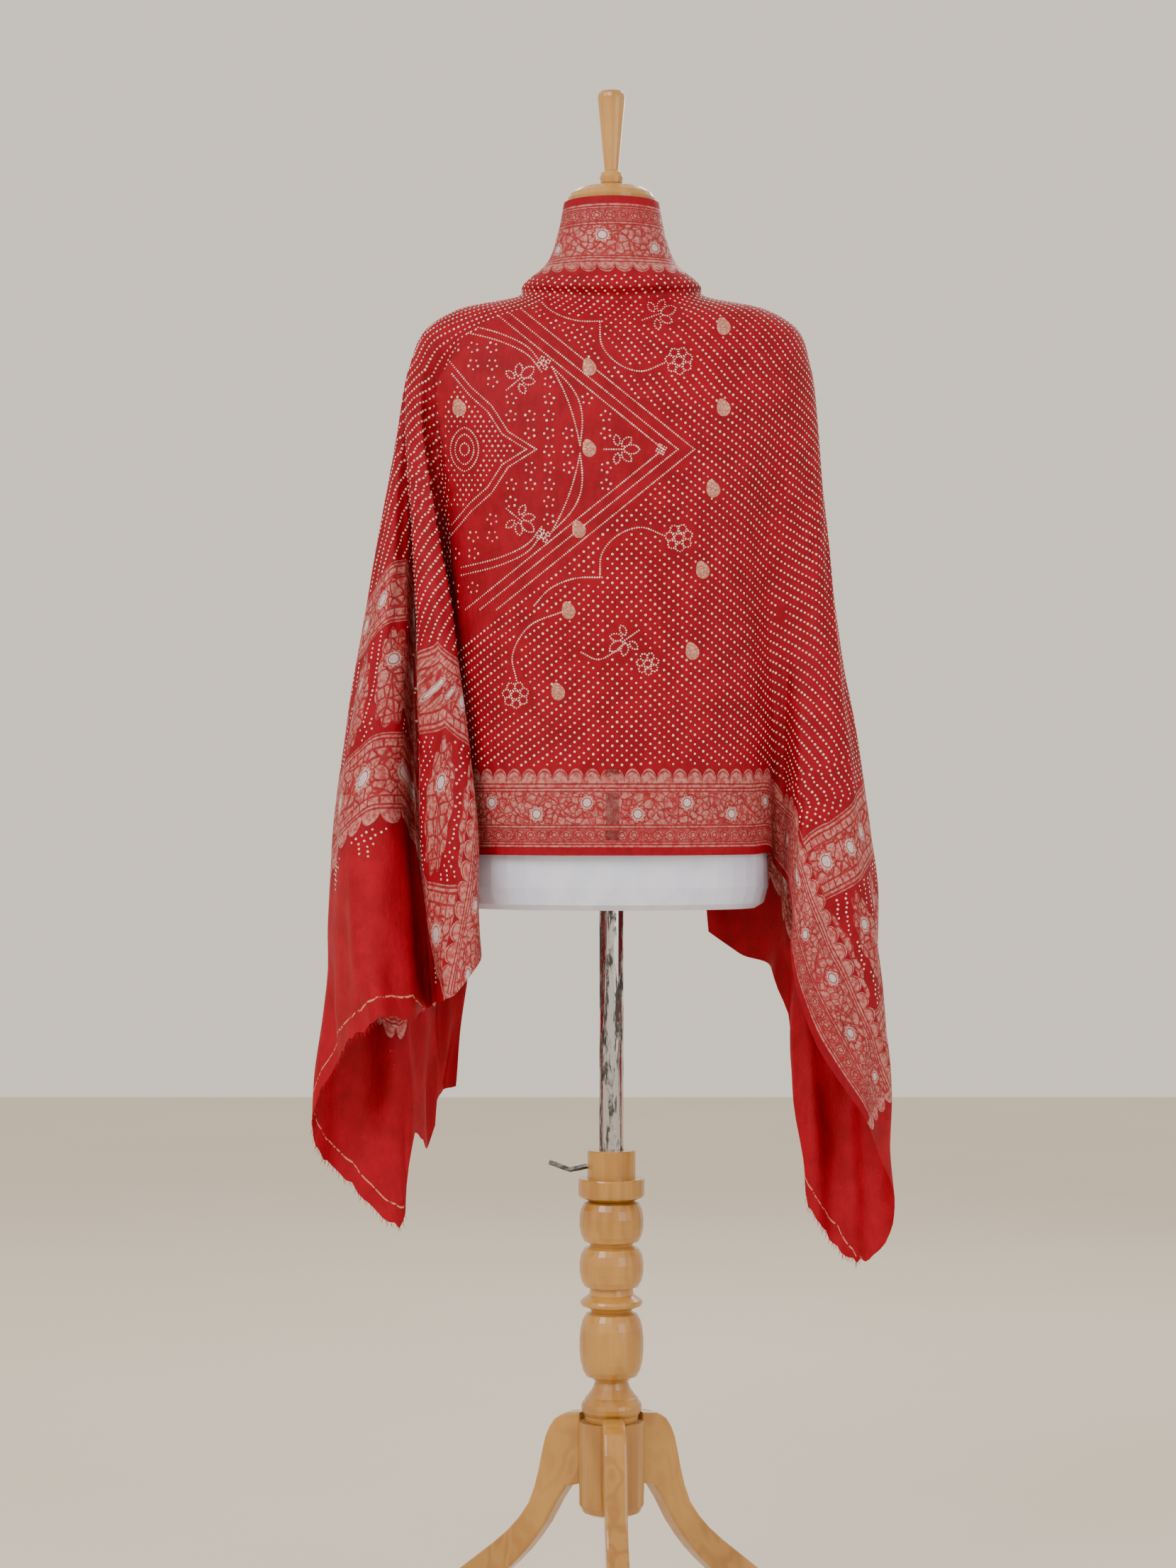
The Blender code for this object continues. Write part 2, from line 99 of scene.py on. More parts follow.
# Tied dots, and threads at the frayed ends
DOT_STEP = 0.0092             # across, between tied dots in a row; the next row is half a step lower
DOT_RADIUS = 0.00122
BEAD_STEP = 0.0023            # between the tied dots of a drawn line
BEAD_RADIUS = 0.00090
ROUND_RADIUS = 0.0012         # a dot of the small rounds of five
ROUND_REACH = 0.0047
DOT_HEIGHT = 0.0006
DOT_LIFT = 0.00012            # off the silk
BAND_CLEAR = 0.003            # between a tied dot and a woven band
EDGE_CLEAR = 0.004            # between a tied dot and the hem or the border's edge
LINE_CLEAR, ROUND_CLEAR, STAR_CLEAR = 0.0045, 0.0075, 0.0036   # between dots of each kind and a drawn line
ROW_SLOPE = -0.42             # how steeply the rows of dots turn up, away from the front
THREAD_RADIUS, THREAD_LENGTH, THREAD_STEP = 0.00035, 0.0060, 0.31
SEED = 7

# Small creases, as heights off the smooth drape
RIPPLE, LOW_RIPPLE, BUNCHING, CHEST_RIPPLE = 0.0009, 0.0016, 0.0016, 0.0007
FRAY_WAVES = ((0.0020, 0.61, 0), (0.0016, 1.9, 1), (0.0012, 2.83, 2))   # height, pace, start

# The drape's grid
COLUMNS_PER_FOLD = 8
ROWS_ON_RING = [6, 6, 6, 5, 10, 7, 9]
ROWS_BELOW_YOKE = 104
NECK_SPREAD = 168.0           # degrees round the neck, each way from the front
FINE_STEPS = 400
NECK_STRETCH = 0.9            # the border round the neck is drawn a little longer than it is
NO_END = 1.0                  # a distance past every woven end

# Colours
RED = (0.300, 0.0003, 0.011)
DEEP_RED = (0.215, 0.0002, 0.007)
PLAIN_RED = (0.370, 0.0005, 0.012)
PLAIN_SHADE = (0.270, 0.0004, 0.008)
SILVER_PINK = (0.400, 0.075, 0.075)
SILVER_PALE = (0.490, 0.200, 0.180)
SILVER_WHITE = (0.640, 0.560, 0.570)
GOLD = (0.66, 0.30, 0.22)
DOT_CREAM = (0.820, 0.680, 0.610)
DOT_STAIN = (0.78, 0.40, 0.36)
DROP_DARK, DROP_PALE = (0.46, 0.17, 0.12), (0.58, 0.32, 0.23)
BEECH_DARK, BEECH_PALE = (0.330, 0.138, 0.019), (0.480, 0.228, 0.040)
BEECH_FIGURE, BEECH_PORES = (0.560, 0.295, 0.066), (0.300, 0.130, 0.035)
FORM_SHADE, FORM_PALE = (0.620, 0.660, 0.830), (0.720, 0.750, 0.900)
# The near-black plate is partly worn plating and partly painted dark reflection.
PLATE, WORN_PLATE_AND_DARK_REFLECTION = (0.60, 0.60, 0.61), (0.085, 0.075, 0.070)
STEEL_DARK, STEEL_SCUFFED = (0.060, 0.055, 0.050), (0.240, 0.230, 0.220)
FLOOR_SHADE, FLOOR_PALE = (0.70, 0.63, 0.53), (0.76, 0.70, 0.60)

# The studio. A light is its name, place, the point it faces, its two sides, power and colour.
LIGHTS = [
    ("key", (-1.9, -2.6, 2.9), (0, 0, 1.0), (2.2, 1.6), 95, (1.0, 0.97, 0.93)),
    ("fill", (2.4, -2.2, 1.6), (0, 0, 0.9), (1.8, 2.0), 28, (0.95, 0.97, 1.0)),
    ("back", (0.6, 2.6, 2.4), (0, 0, 1.0), (2.0, 1.2), 30, (1.0, 1.0, 1.0)),
]
AMBIENT_COLOUR, AMBIENT_POWER = (0.94, 0.84, 0.71, 1.0), 1.05
FLOOR_REACH = 6
FLOOR_HEIGHT = -0.0005        # just under the soles

# The turns, in degrees, that lay the grain along the legs: their tilt, and each leg's turn from the front
LEG_TILT = -38
LEG_TURNS = (("leg_front", 3.0), ("leg_right", 123.0), ("leg_left", 243.0))

# The drape: the same rings and folds as the solids
Ring = namedtuple("Ring", "half front back side fore rear")
CLOTH_RINGS = [
    Ring(0.0475, 0.0475, 0.0475, 1.469, 1.469, 1.469),
    Ring(0.0530, 0.0515, 0.0510, 1.441, 1.440, 1.443),
    Ring(0.0640, 0.0580, 0.0570, 1.410, 1.408, 1.415),
    Ring(0.0890, 0.0785, 0.0700, 1.386, 1.377, 1.391),
    Ring(0.0900, 0.0700, 0.0660, 1.378, 1.366, 1.383),
    Ring(0.1560, 0.0880, 0.0820, 1.362, 1.335, 1.350),
    Ring(0.1870, 0.1010, 0.0900, 1.341, 1.300, 1.310),
    Ring(0.2000, 0.1110, 0.0960, 1.300, 1.255, 1.265),
]
TUCK_RING = 4
FRONT_RINGS = [
    (1.06, Ring(0.1760, 0.1200, 0.1000, 1.165, 1.165, 1.165)),
    (1.18, Ring(0.1660, 0.1150, 0.1000, 1.000, 1.000, 1.000)),
    (1.28, Ring(0.1630, 0.1080, 0.1000, 0.822, 0.822, 0.822)),
]
FRONT_TURNS = [-58, -44, -30, -15, 0, 15, 30, 45, 58]
WAIST_HEIGHT = 1.030
HIP_HEIGHT = 0.842

# Where a fold passes, and how the flat cloth lies along it: `to_end` and `to_edge` are the hem point's
# distances from the cloth's end and from its lower selvedge, and `lean` is the angle, in the flat cloth,
# between the way up the fold and the way in from the end.
Fold = namedtuple("Fold", "turn out waist_x waist_y hip_x hip_y hem_x hem_y hem_z to_end to_edge lean")
LEFT_FOLDS = [
    Fold(-64, 0.92, -0.162, -0.018, -0.162, 0.008, -0.161, 0.010, 0.813, 0.500, 0.000, 88),
    Fold(-67, 0.91, -0.171, -0.018, -0.171, 0.008, -0.169, 0.010, 0.800, 0.480, 0.000, 84),
    Fold(-69, 0.96, -0.178, -0.040, -0.178, -0.036, -0.176, -0.034, 0.772, 0.300, 0.000, 44),
    Fold(-70, 1.00, -0.152, -0.070, -0.128, -0.092, -0.128, -0.094, 0.725, 0.245, 0.000, 44),
    Fold(-76, 1.02, -0.170, -0.078, -0.152, -0.106, -0.150, -0.110, 0.690, 0.205, 0.010, 44),
    Fold(-81, 1.02, -0.190, -0.058, -0.183, -0.078, -0.167, -0.082, 0.680, 0.190, 0.030, 40),
    Fold(-83, 0.96, -0.190, -0.020, -0.186, -0.022, -0.174, -0.030, 0.675, 0.120, 0.060, 26),
    Fold(-86, 0.96, -0.197, -0.016, -0.195, -0.020, -0.184, -0.028, 0.669, 0.030, 0.080, 8),
    Fold(-89, 0.99, -0.203, -0.036, -0.204, -0.052, -0.194, -0.070, 0.664, 0.000, 0.100, 2),
    Fold(-92, 1.02, -0.222, -0.050, -0.238, -0.078, -0.230, -0.096, 0.662, 0.000, 0.135, 0),
    Fold(-96, 1.02, -0.240, -0.034, -0.262, -0.056, -0.256, -0.066, 0.640, 0.000, 0.170, 0),
    Fold(-101, 1.01, -0.250, -0.006, -0.276, -0.012, -0.274, -0.018, 0.612, 0.000, 0.215, 0),
    Fold(-109, 1.00, -0.240, 0.034, -0.262, 0.034, -0.300, 0.020, 0.532, 0.000, 0.265, 0),
    Fold(-118, 1.02, -0.216, 0.050, -0.246, 0.054, -0.262, 0.046, 0.487, 0.000, 0.310, 0),
    Fold(-126, 1.00, -0.190, 0.052, -0.216, 0.048, -0.214, 0.042, 0.444, 0.000, 0.360, 0),
    Fold(-134, 1.02, -0.170, 0.067, -0.190, 0.066, -0.200, 0.060, 0.535, 0.055, 0.400, 0),
    Fold(-143, 1.06, -0.152, 0.096, -0.174, 0.108, -0.186, 0.092, 0.518, 0.045, 0.440, 0),
    Fold(-155, 1.03, -0.118, 0.109, -0.152, 0.124, -0.178, 0.112, 0.568, 0.075, 0.500, 0),
    Fold(-171, 1.00, -0.078, 0.110, -0.126, 0.128, -0.162, 0.126, 0.578, 0.080, 0.560, 0),
]
RIGHT_FOLDS = [
    Fold(64, 1.00, 0.162, -0.042, 0.162, -0.014, 0.162, -0.010, 0.810, 0.505, 0.000, 90),
    Fold(69, 1.00, 0.172, -0.041, 0.171, -0.014, 0.170, -0.010, 0.800, 0.490, 0.000, 86),
    Fold(75, 1.00, 0.182, -0.043, 0.178, -0.050, 0.175, -0.048, 0.784, 0.430, 0.000, 68),
    Fold(81, 1.00, 0.194, -0.045, 0.188, -0.062, 0.175, -0.066, 0.716, 0.366, 0.000, 45),
    Fold(88, 1.00, 0.208, -0.042, 0.212, -0.064, 0.200, -0.062, 0.636, 0.275, 0.000, 36),
    Fold(95, 1.00, 0.221, -0.028, 0.244, -0.042, 0.250, -0.042, 0.556, 0.200, 0.000, 39),
    Fold(103, 0.99, 0.228, -0.002, 0.258, 0.000, 0.281, -0.006, 0.470, 0.100, 0.008, 35),
    Fold(111, 1.00, 0.222, 0.032, 0.254, 0.040, 0.256, 0.022, 0.411, 0.025, 0.050, 25),
    Fold(120, 1.00, 0.203, 0.056, 0.228, 0.068, 0.228, 0.034, 0.424, 0.000, 0.120, 14),
    Fold(129, 0.98, 0.180, 0.060, 0.202, 0.062, 0.198, 0.026, 0.470, 0.000, 0.190, 3),
    Fold(138, 1.00, 0.159, 0.072, 0.180, 0.074, 0.184, 0.058, 0.600, 0.060, 0.260, 0),
    Fold(147, 1.02, 0.138, 0.094, 0.158, 0.104, 0.166, 0.088, 0.700, 0.100, 0.310, 0),
    Fold(158, 1.02, 0.103, 0.108, 0.126, 0.122, 0.134, 0.118, 0.716, 0.110, 0.360, 0),
    Fold(171, 1.00, 0.063, 0.108, 0.092, 0.120, 0.101, 0.122, 0.738, 0.120, 0.400, 0),
]

# The left selvedge runs up along a ridge and turns back behind the inner fold, faster near the top.
RIDGE_LINE = len(LEFT_FOLDS) - 4
SELVEDGE_LOW, SELVEDGE_TURN = 0.700, 0.36
SELVEDGE_HIGH, SELVEDGE_HIGH_TURN = 0.98, 2.0


def smooth(low, high, value):
    """0 below low, 1 above high, eased between."""
    t = np.clip((np.asarray(value, float) - low) / (high - low), 0.0, 1.0)
    return t * t * (3 - 2 * t)


def curve_through(points, at):
    """A smooth curve through the points, read at the fractional indices `at` (Catmull-Rom, centripetal)."""
    points = np.asarray(points, float)
    at = np.asarray(at, float)
    ends = np.concatenate([[2 * points[0] - points[1]], points, [2 * points[-1] - points[-2]]])
    i = np.minimum(at.astype(int), len(points) - 2)
    p0, p1, p2, p3 = ends[i], ends[i + 1], ends[i + 2], ends[i + 3]

    def gap(a, b):
        return np.maximum(np.linalg.norm(b - a, axis=1), 1e-6)[:, None] ** 0.5

    k1 = gap(p0, p1)
    k2 = k1 + gap(p1, p2)
    k3 = k2 + gap(p2, p3)
    t = k1 + (at - i)[:, None] * (k2 - k1)
    a1 = (k1 - t) / k1 * p0 + t / k1 * p1
    a2 = (k2 - t) / (k2 - k1) * p1 + (t - k1) / (k2 - k1) * p2
    a3 = (k3 - t) / (k3 - k2) * p2 + (t - k2) / (k3 - k2) * p3
    b1 = (k2 - t) / k2 * a1 + t / k2 * a2
    b2 = (k3 - t) / (k3 - k1) * a2 + (t - k1) / (k3 - k1) * a3
    return (k2 - t) / (k2 - k1) * b1 + (t - k1) / (k2 - k1) * b2


def on_ring(ring, turn, out=1.0):
    """The point of a ring at a turn from the front, in degrees."""
    s, c = math.sin(math.radians(turn)), math.cos(math.radians(turn))
    reach, end = (ring.front, ring.fore) if c > 0 else (ring.back, ring.rear)
    return np.array([ring.half * s * out, -reach * c * out, ring.side + (end - ring.side) * c * c])


def fold_line(neck_turn, turn, out, below):
    """One line down the cloth, as points from the neck edge to the hem."""
    last = len(CLOTH_RINGS) - 1
    upper = []
    for i, ring in enumerate(CLOTH_RINGS):
        shared = i / last
        turned = neck_turn + (turn - neck_turn) * shared**1.5
        upper.append(on_ring(ring, turned, 1 + (out - 1) * shared**8))
    rows = []
    for i, parts in enumerate(ROWS_ON_RING):
        rows += [i + k / parts for k in range(parts)]
    on_form = curve_through(upper, rows)
    hanging = curve_through([upper[-2], upper[-1], *below], np.linspace(1, 1 + len(below), FINE_STEPS))
    along = np.concatenate([[0], np.cumsum(np.linalg.norm(np.diff(hanging, axis=0), axis=1))])
    even = np.linspace(0, along[-1], ROWS_BELOW_YOKE + 1)
    spaced = np.stack([np.interp(even, along, hanging[:, k]) for k in range(3)], axis=1)
    return np.concatenate([on_form, spaced])


def steps_along(points, axis):
    """Distance from the first point along an axis of a grid of points."""
    gaps = np.linalg.norm(np.diff(points, axis=axis), axis=2)
    total = np.cumsum(gaps, axis=axis)
    start = np.zeros_like(np.take(total, [0], axis=axis))
    return np.concatenate([start, total], axis=axis)


class Drape:
    """The hanging cloth as a grid of points, columns first, with each point's place on the flat cloth."""

    def __init__(self):
        folds = list(reversed(LEFT_FOLDS)) + FRONT_TURNS + RIGHT_FOLDS
        lines, on_flat = [], []
        for i, fold in enumerate(folds):
            neck_turn = NECK_SPREAD * (2 * i / (len(folds) - 1) - 1)
            if isinstance(fold, Fold):
                turn, out = fold.turn, fold.out
                below = [(fold.waist_x, fold.waist_y, WAIST_HEIGHT), (fold.hip_x, fold.hip_y, HIP_HEIGHT),
                         (fold.hem_x, fold.hem_y, fold.hem_z)]
                on_flat.append((fold.to_end, fold.to_edge, fold.lean))
            else:
                turn, out = fold, 1.0
                below = [on_ring(ring, fold * spread) for spread, ring in FRONT_RINGS]
                on_flat.append((END_REACH, 0.0, 90.0))
            lines.append(fold_line(neck_turn, turn, out, below))
        lines = np.array(lines)
        to_end, to_edge, lean = np.array(on_flat, float).T
        self.columns = COLUMNS_PER_FOLD * (len(folds) - 1) + 1
        across = np.linspace(0, len(folds) - 1, self.columns)
        grid = np.array([curve_through(lines[:, j], across) for j in range(lines.shape[1])])
        self.points = grid.transpose(1, 0, 2)
        self.rows = self.points.shape[1]
        self.tuck_row = sum(ROWS_ON_RING[:TUCK_RING])
        self.yoke_row = sum(ROWS_ON_RING)
        self.centre = COLUMNS_PER_FOLD * (len(LEFT_FOLDS) + len(FRONT_TURNS) // 2)
        left = COLUMNS_PER_FOLD * len(LEFT_FOLDS)
        self.panel = (left, left + COLUMNS_PER_FOLD * (len(FRONT_TURNS) - 1))
        knots = np.arange(len(folds))
        hem_end = np.interp(across, knots, to_end)
        hem_edge = np.interp(across, knots, to_edge)
        up = np.radians(np.interp(across, knots, lean))
        self.crinkle()
        down = steps_along(self.points, 1)
        self.from_top = down
        self.from_hem = down[:, -1:] - down
        arcs = steps_along(self.points, 0)
        self.arc = arcs - arcs[self.centre]
        self.from_back = np.minimum(arcs, arcs[-1:] - arcs)
        panel_arc = np.abs(self.arc[:, -1:]) * np.ones_like(down)
        self.to_end = hem_end[:, None] + self.from_hem * np.cos(up)[:, None]
        self.to_edge = hem_edge[:, None] + self.from_hem * np.sin(up)[:, None]
        inside = (np.arange(self.columns) >= self.panel[0]) & (np.arange(self.columns) <= self.panel[1])
        edge_arc = max(panel_arc[self.panel[0], 0], panel_arc[self.panel[1], 0])
        self.to_end[inside] += edge_arc - panel_arc[inside]
        self.turn_back_selvedge()
        self.fray()
        self.side = np.sign(np.arange(self.columns) - self.centre)[:, None] * np.ones_like(down)
        self.normals = self.find_normals()

    def turn_back_selvedge(self):
        """On the left the selvedge runs up the front of the inner fold and turns back behind it."""
        ridge = COLUMNS_PER_FOLD * RIDGE_LINE
        fold = np.arange(ridge - 3 * COLUMNS_PER_FOLD, self.panel[0])
        z = self.points[ridge, :, 2]
        arcs = steps_along(self.points, 0)
        reach = np.abs(arcs[fold] - arcs[ridge])
        low = SELVEDGE_TURN * np.maximum(z - SELVEDGE_LOW, 0.0)
        high = SELVEDGE_HIGH_TURN * np.maximum(z - SELVEDGE_HIGH, 0.0)
        self.to_edge[fold] = reach + low + high

    def crinkle(self):
        """Soft ripples in the hanging ends, tight creases at the left shoulder, and a slightly uneven chest."""
        rows = np.arange(self.rows)
        columns = np.arange(self.columns)
        hanging = smooth(self.yoke_row, self.yoke_row + 40, rows)[None, :]
        beside = np.maximum(smooth(self.panel[1] + 10, self.panel[1] + 40, columns),
                            smooth(-self.panel[0] + 10, -self.panel[0] + 40, -columns))[:, None]
        x, y, z = self.points[..., 0], self.points[..., 1], self.points[..., 2]
        normals = self.find_normals()
        turn = columns[:, None] / COLUMNS_PER_FOLD
        ripple = np.sin(turn * 4.1 + 3.0 * np.sin(z * 9) + z * 4) + 0.6 * np.sin(turn * 7.3 - z * 15 + 1.7)
        ripple += 0.5 * np.sin(z * 52 + 4 * np.sin(turn * 1.3) + turn * 0.8) * smooth(0, 1, beside)
        ends = smooth(0.95, 0.62, z) * LOW_RIPPLE + RIPPLE
        shift = ripple * ends * hanging * beside
        bunched = np.exp(-((x + 0.178) / 0.030) ** 2 - ((z - 1.190) / 0.060) ** 2) * (y < -0.02)
        shift += bunched * BUNCHING * np.sin(z * 330 + 5 * np.sin(x * 60))
        chest = (1 - beside) * smooth(self.yoke_row - 10, self.yoke_row + 10, rows)[None, :]
        shift += chest * CHEST_RIPPLE * (np.sin(x * 46 + z * 21) + np.sin(z * 34 - x * 15 + 2))
        self.points = self.points + normals * shift[..., None]

    def fray(self):
        """A wandering, frayed lower edge on the two ends."""
        columns = np.arange(self.columns)[:, None]
        near_hem = smooth(self.rows - 7, self.rows - 1, np.arange(self.rows))[None, :]
        ends = smooth(0.10, 0.02, self.to_end[:, -1:])
        wander = sum(height * np.sin(columns * pace + start) for height, pace, start in FRAY_WAVES)
        self.points[..., 2] += near_hem * ends * wander

    def find_normals(self):
        """Unit normals of the grid, facing away from the form."""
        along = np.gradient(self.points, axis=1)
        across = np.gradient(self.points, axis=0)
        normals = np.cross(along, across)
        return normals / np.maximum(np.linalg.norm(normals, axis=2, keepdims=True), 1e-9)

    def read(self, values, column, row):
        """A grid of values read between its points."""
        column = np.clip(column, 0, self.columns - 1.001)
        row = np.clip(row, 0, self.rows - 1.001)
        i, j = column.astype(int), row.astype(int)
        a, b = column - i, row - j
        if values.ndim == 3:
            a, b = a[:, None], b[:, None]
        top = values[i, j] * (1 - b) + values[i, j + 1] * b
        low = values[i + 1, j] * (1 - b) + values[i + 1, j + 1] * b
        return top * (1 - a) + low * a


# Shader helpers
class Nodes:
    """Short names for building a node tree."""

    def __init__(self, tree):
        self.tree = tree

    def add(self, kind, **settings):
        node = self.tree.nodes.new(kind)
        for name, value in settings.items():
            setattr(node, name, value)
        return node

    def join(self, source, target):
        self.tree.links.new(source, target)

    def feed(self, socket, value):
        if isinstance(value, bpy.types.NodeSocket):
            self.join(value, socket)
        else:
            socket.default_value = value

    def math(self, operation, *values):
        node = self.add("ShaderNodeMath", operation=operation)
        for socket, value in zip(node.inputs, values):
            self.feed(socket, value)
        return node.outputs[0]

    def plus(self, a, b):
        return self.math("ADD", a, b)

    def minus(self, a, b):
        return self.math("SUBTRACT", a, b)

    def times(self, *values):
        product = values[0]
        for value in values[1:]:
            product = self.math("MULTIPLY", product, value)
        return product

    def over(self, a, b):
        return self.math("DIVIDE", a, b)

    def most(self, *values):
        largest = values[0]
        for value in values[1:]:
            largest = self.math("MAXIMUM", largest, value)
        return largest

    def size(self, value):
        return self.math("ABSOLUTE", value)

    def sine(self, value):
        return self.math("SINE", value)

    def rest_of(self, share):
        return self.minus(1.0, share)

    def apart(self, a, b):
        """The distance between two numbers."""
        return self.size(self.minus(a, b))

    def length(self, a, b):
        """The length of a vector given by its two parts."""
        return self.math("SQRT", self.plus(self.times(a, a), self.times(b, b)))

    def in_repeat(self, along, pitch):
        """Where a place lies in its repeat, from -0.5 to 0.5."""
        return self.minus(self.math("FRACT", self.over(along, pitch)), 0.5)

    def dome(self, along, pitch):
        """A row of half rounds, from 0 between them to 1 at their middles."""
        half_cell = self.in_repeat(along, pitch)
        square = self.times(half_cell, half_cell, 4.0)
        return self.math("SQRT", self.most(self.rest_of(square), 0.0))

    def object_place(self):
        return self.add("ShaderNodeTexCoord").outputs["Object"]

    def ramp(self, value, low, high):
        """0 where value is at low, 1 at high, eased between."""
        node = self.add("ShaderNodeMapRange", interpolation_type="SMOOTHSTEP")
        for socket, given in zip(node.inputs[:5], (value, low, high, 0.0, 1.0)):
            self.feed(socket, given)
        return node.outputs[0]

    def band(self, value, low, high, soft=0.0003):
        """1 between low and high."""
        rise = self.ramp(value, low - soft, low + soft)
        fall = self.ramp(value, high + soft, high - soft)
        return self.times(rise, fall)

    def mix(self, factor, a, b):
        node = self.add("ShaderNodeMix", data_type="RGBA")
        self.feed(node.inputs[0], factor)
        self.feed(node.inputs[6], (*a, 1.0) if isinstance(a, tuple) else a)
        self.feed(node.inputs[7], (*b, 1.0) if isinstance(b, tuple) else b)
        return node.outputs[2]

    def lerp(self, factor, a, b):
        node = self.add("ShaderNodeMix", data_type="FLOAT")
        for socket, value in zip((node.inputs[0], node.inputs[2], node.inputs[3]), (factor, a, b)):
            self.feed(socket, value)
        return node.outputs[0]

    def noise(self, vector, scale, detail=3.0, roughness=0.5):
        node = self.add("ShaderNodeTexNoise")
        self.join(vector, node.inputs["Vector"])
        node.inputs["Scale"].default_value = scale
        node.inputs["Detail"].default_value = detail
        node.inputs["Roughness"].default_value = roughness
        return node.outputs["Fac"]

    def stretch(self, vector, scale):
        node = self.add("ShaderNodeMapping")
        self.join(vector, node.inputs["Vector"])
        node.inputs["Scale"].default_value = scale
        return node.outputs[0]

    def vector(self, x, y, z=0.0):
        node = self.add("ShaderNodeCombineXYZ")
        for socket, value in zip(node.inputs, (x, y, z)):
            self.feed(socket, value)
        return node.outputs[0]

    def split(self, vector):
        node = self.add("ShaderNodeSeparateXYZ")
        self.join(vector, node.inputs[0])
        return node.outputs

    def bump(self, height, distance, strength=1.0, under=None):
        node = self.add("ShaderNodeBump")
        node.inputs["Strength"].default_value = strength
        node.inputs["Distance"].default_value = distance
        self.join(height, node.inputs["Height"])
        if under is not None:
            self.join(under, node.inputs["Normal"])
        return node.outputs[0]

    def group(self, tree, **values):
        node = self.add("ShaderNodeGroup", node_tree=tree)
        for name, value in values.items():
            self.feed(node.inputs[name.replace("_", " ")], value)
        return node.outputs


def new_group(name, inputs, outputs):
    """An empty shader group. Inputs are (name, kind, default)."""
    tree = bpy.data.node_groups.new(name, "ShaderNodeTree")
    for label, kind, value in inputs:
        socket = tree.interface.new_socket(name=label, in_out="INPUT", socket_type="NodeSocket" + kind)
        if value is not None:
            socket.default_value = value
    for label, kind in outputs:
        tree.interface.new_socket(name=label, in_out="OUTPUT", socket_type="NodeSocket" + kind)
    nodes = Nodes(tree)
    return tree, nodes, nodes.add("NodeGroupInput").outputs, nodes.add("NodeGroupOutput").inputs


def new_material(name, metallic=0.0, **fixed):
    """A material with one Principled shader. Fixed values go on the shader's own sockets."""
    made = bpy.data.materials.new(name)
    made.use_nodes = True
    shader = made.node_tree.nodes["Principled BSDF"]
    shader.inputs["Metallic"].default_value = metallic
    for label, value in fixed.items():
        shader.inputs[label.replace("_", " ")].default_value = value
    return made, Nodes(made.node_tree), shader


def flower_group():
    """A woven flower in a repeat: petals outlined in red round a pale centre."""
    tree, n, inp, out = new_group(
        "woven flower",
        [("Along", "Float", 0.0), ("Off", "Float", 0.0), ("Repeat", "Float", 0.05), ("Radius", "Float", 0.010)],
        [("Petals", "Float"), ("Outline", "Float"), ("Centre", "Float")],
    )
    radius = inp["Radius"]
    place = n.times(n.in_repeat(inp["Along"], inp["Repeat"]), inp["Repeat"])
    reach = n.length(place, inp["Off"])
    turn = n.times(n.math("ARCTAN2", inp["Off"], place), 3.5)
    rim = n.times(radius, n.plus(0.72, n.times(n.size(n.sine(turn)), 0.28)))
    petals = n.ramp(n.minus(reach, rim), 0.0004, -0.0004)
    outline = n.ramp(n.apart(reach, rim), 0.0010, 0.0003)
    spokes = n.times(n.ramp(n.size(n.math("COSINE", turn)), 0.16, 0.05), petals)
    ring = n.ramp(n.apart(reach, n.times(radius, 0.46)), 0.0008, 0.0003)
    inner = n.ramp(reach, n.times(radius, 0.72), n.times(radius, 0.45))
    n.join(petals, out["Petals"])
    n.join(n.most(outline, n.times(spokes, 0.7), ring), out["Outline"])
    n.join(inner, out["Centre"])
    return tree


def leaf_group():
    """Woven leaves: a close cover of leaf-shaped cells, each outlined in red and veined."""
    tree, n, inp, out = new_group(
        "woven leaves",
        [("Place", "Vector", (0.0, 0.0, 0.0)), ("Cells per metre", "Float", 120.0), ("Line", "Float", 0.10)],
        [("Outline", "Float")],
    )
    curl = n.add("ShaderNodeTexNoise")
    n.join(inp["Place"], curl.inputs["Vector"])
    curl.inputs["Scale"].default_value = 38.0
    moved = n.add("ShaderNodeVectorMath", operation="MULTIPLY_ADD")
    n.join(curl.outputs["Color"], moved.inputs[0])
    moved.inputs[1].default_value = (0.007, 0.007, 0.0)
    n.join(inp["Place"], moved.inputs[2])
    large = n.add("ShaderNodeTexVoronoi", feature="DISTANCE_TO_EDGE")
    n.join(moved.outputs[0], large.inputs["Vector"])
    n.join(inp["Cells per metre"], large.inputs["Scale"])
    fine = n.add("ShaderNodeTexVoronoi", feature="DISTANCE_TO_EDGE")
    n.join(n.stretch(moved.outputs[0], (1.0, 2.2, 1.0)), fine.inputs["Vector"])
    n.join(n.times(inp["Cells per metre"], 1.7), fine.inputs["Scale"])
    half = n.times(inp["Line"], 0.35)
    outline = n.ramp(large.outputs["Distance"], inp["Line"], half)
    veins = n.times(n.ramp(fine.outputs["Distance"], half, 0.0), 0.35)
    n.join(n.most(outline, veins), out["Outline"])
    return tree


def lines_at(n, distance, places, half=0.0007):
    """A mask of thin lines at fixed distances."""
    return n.most(*[n.ramp(n.apart(distance, place), half * 1.5, half * 0.6) for place in places])


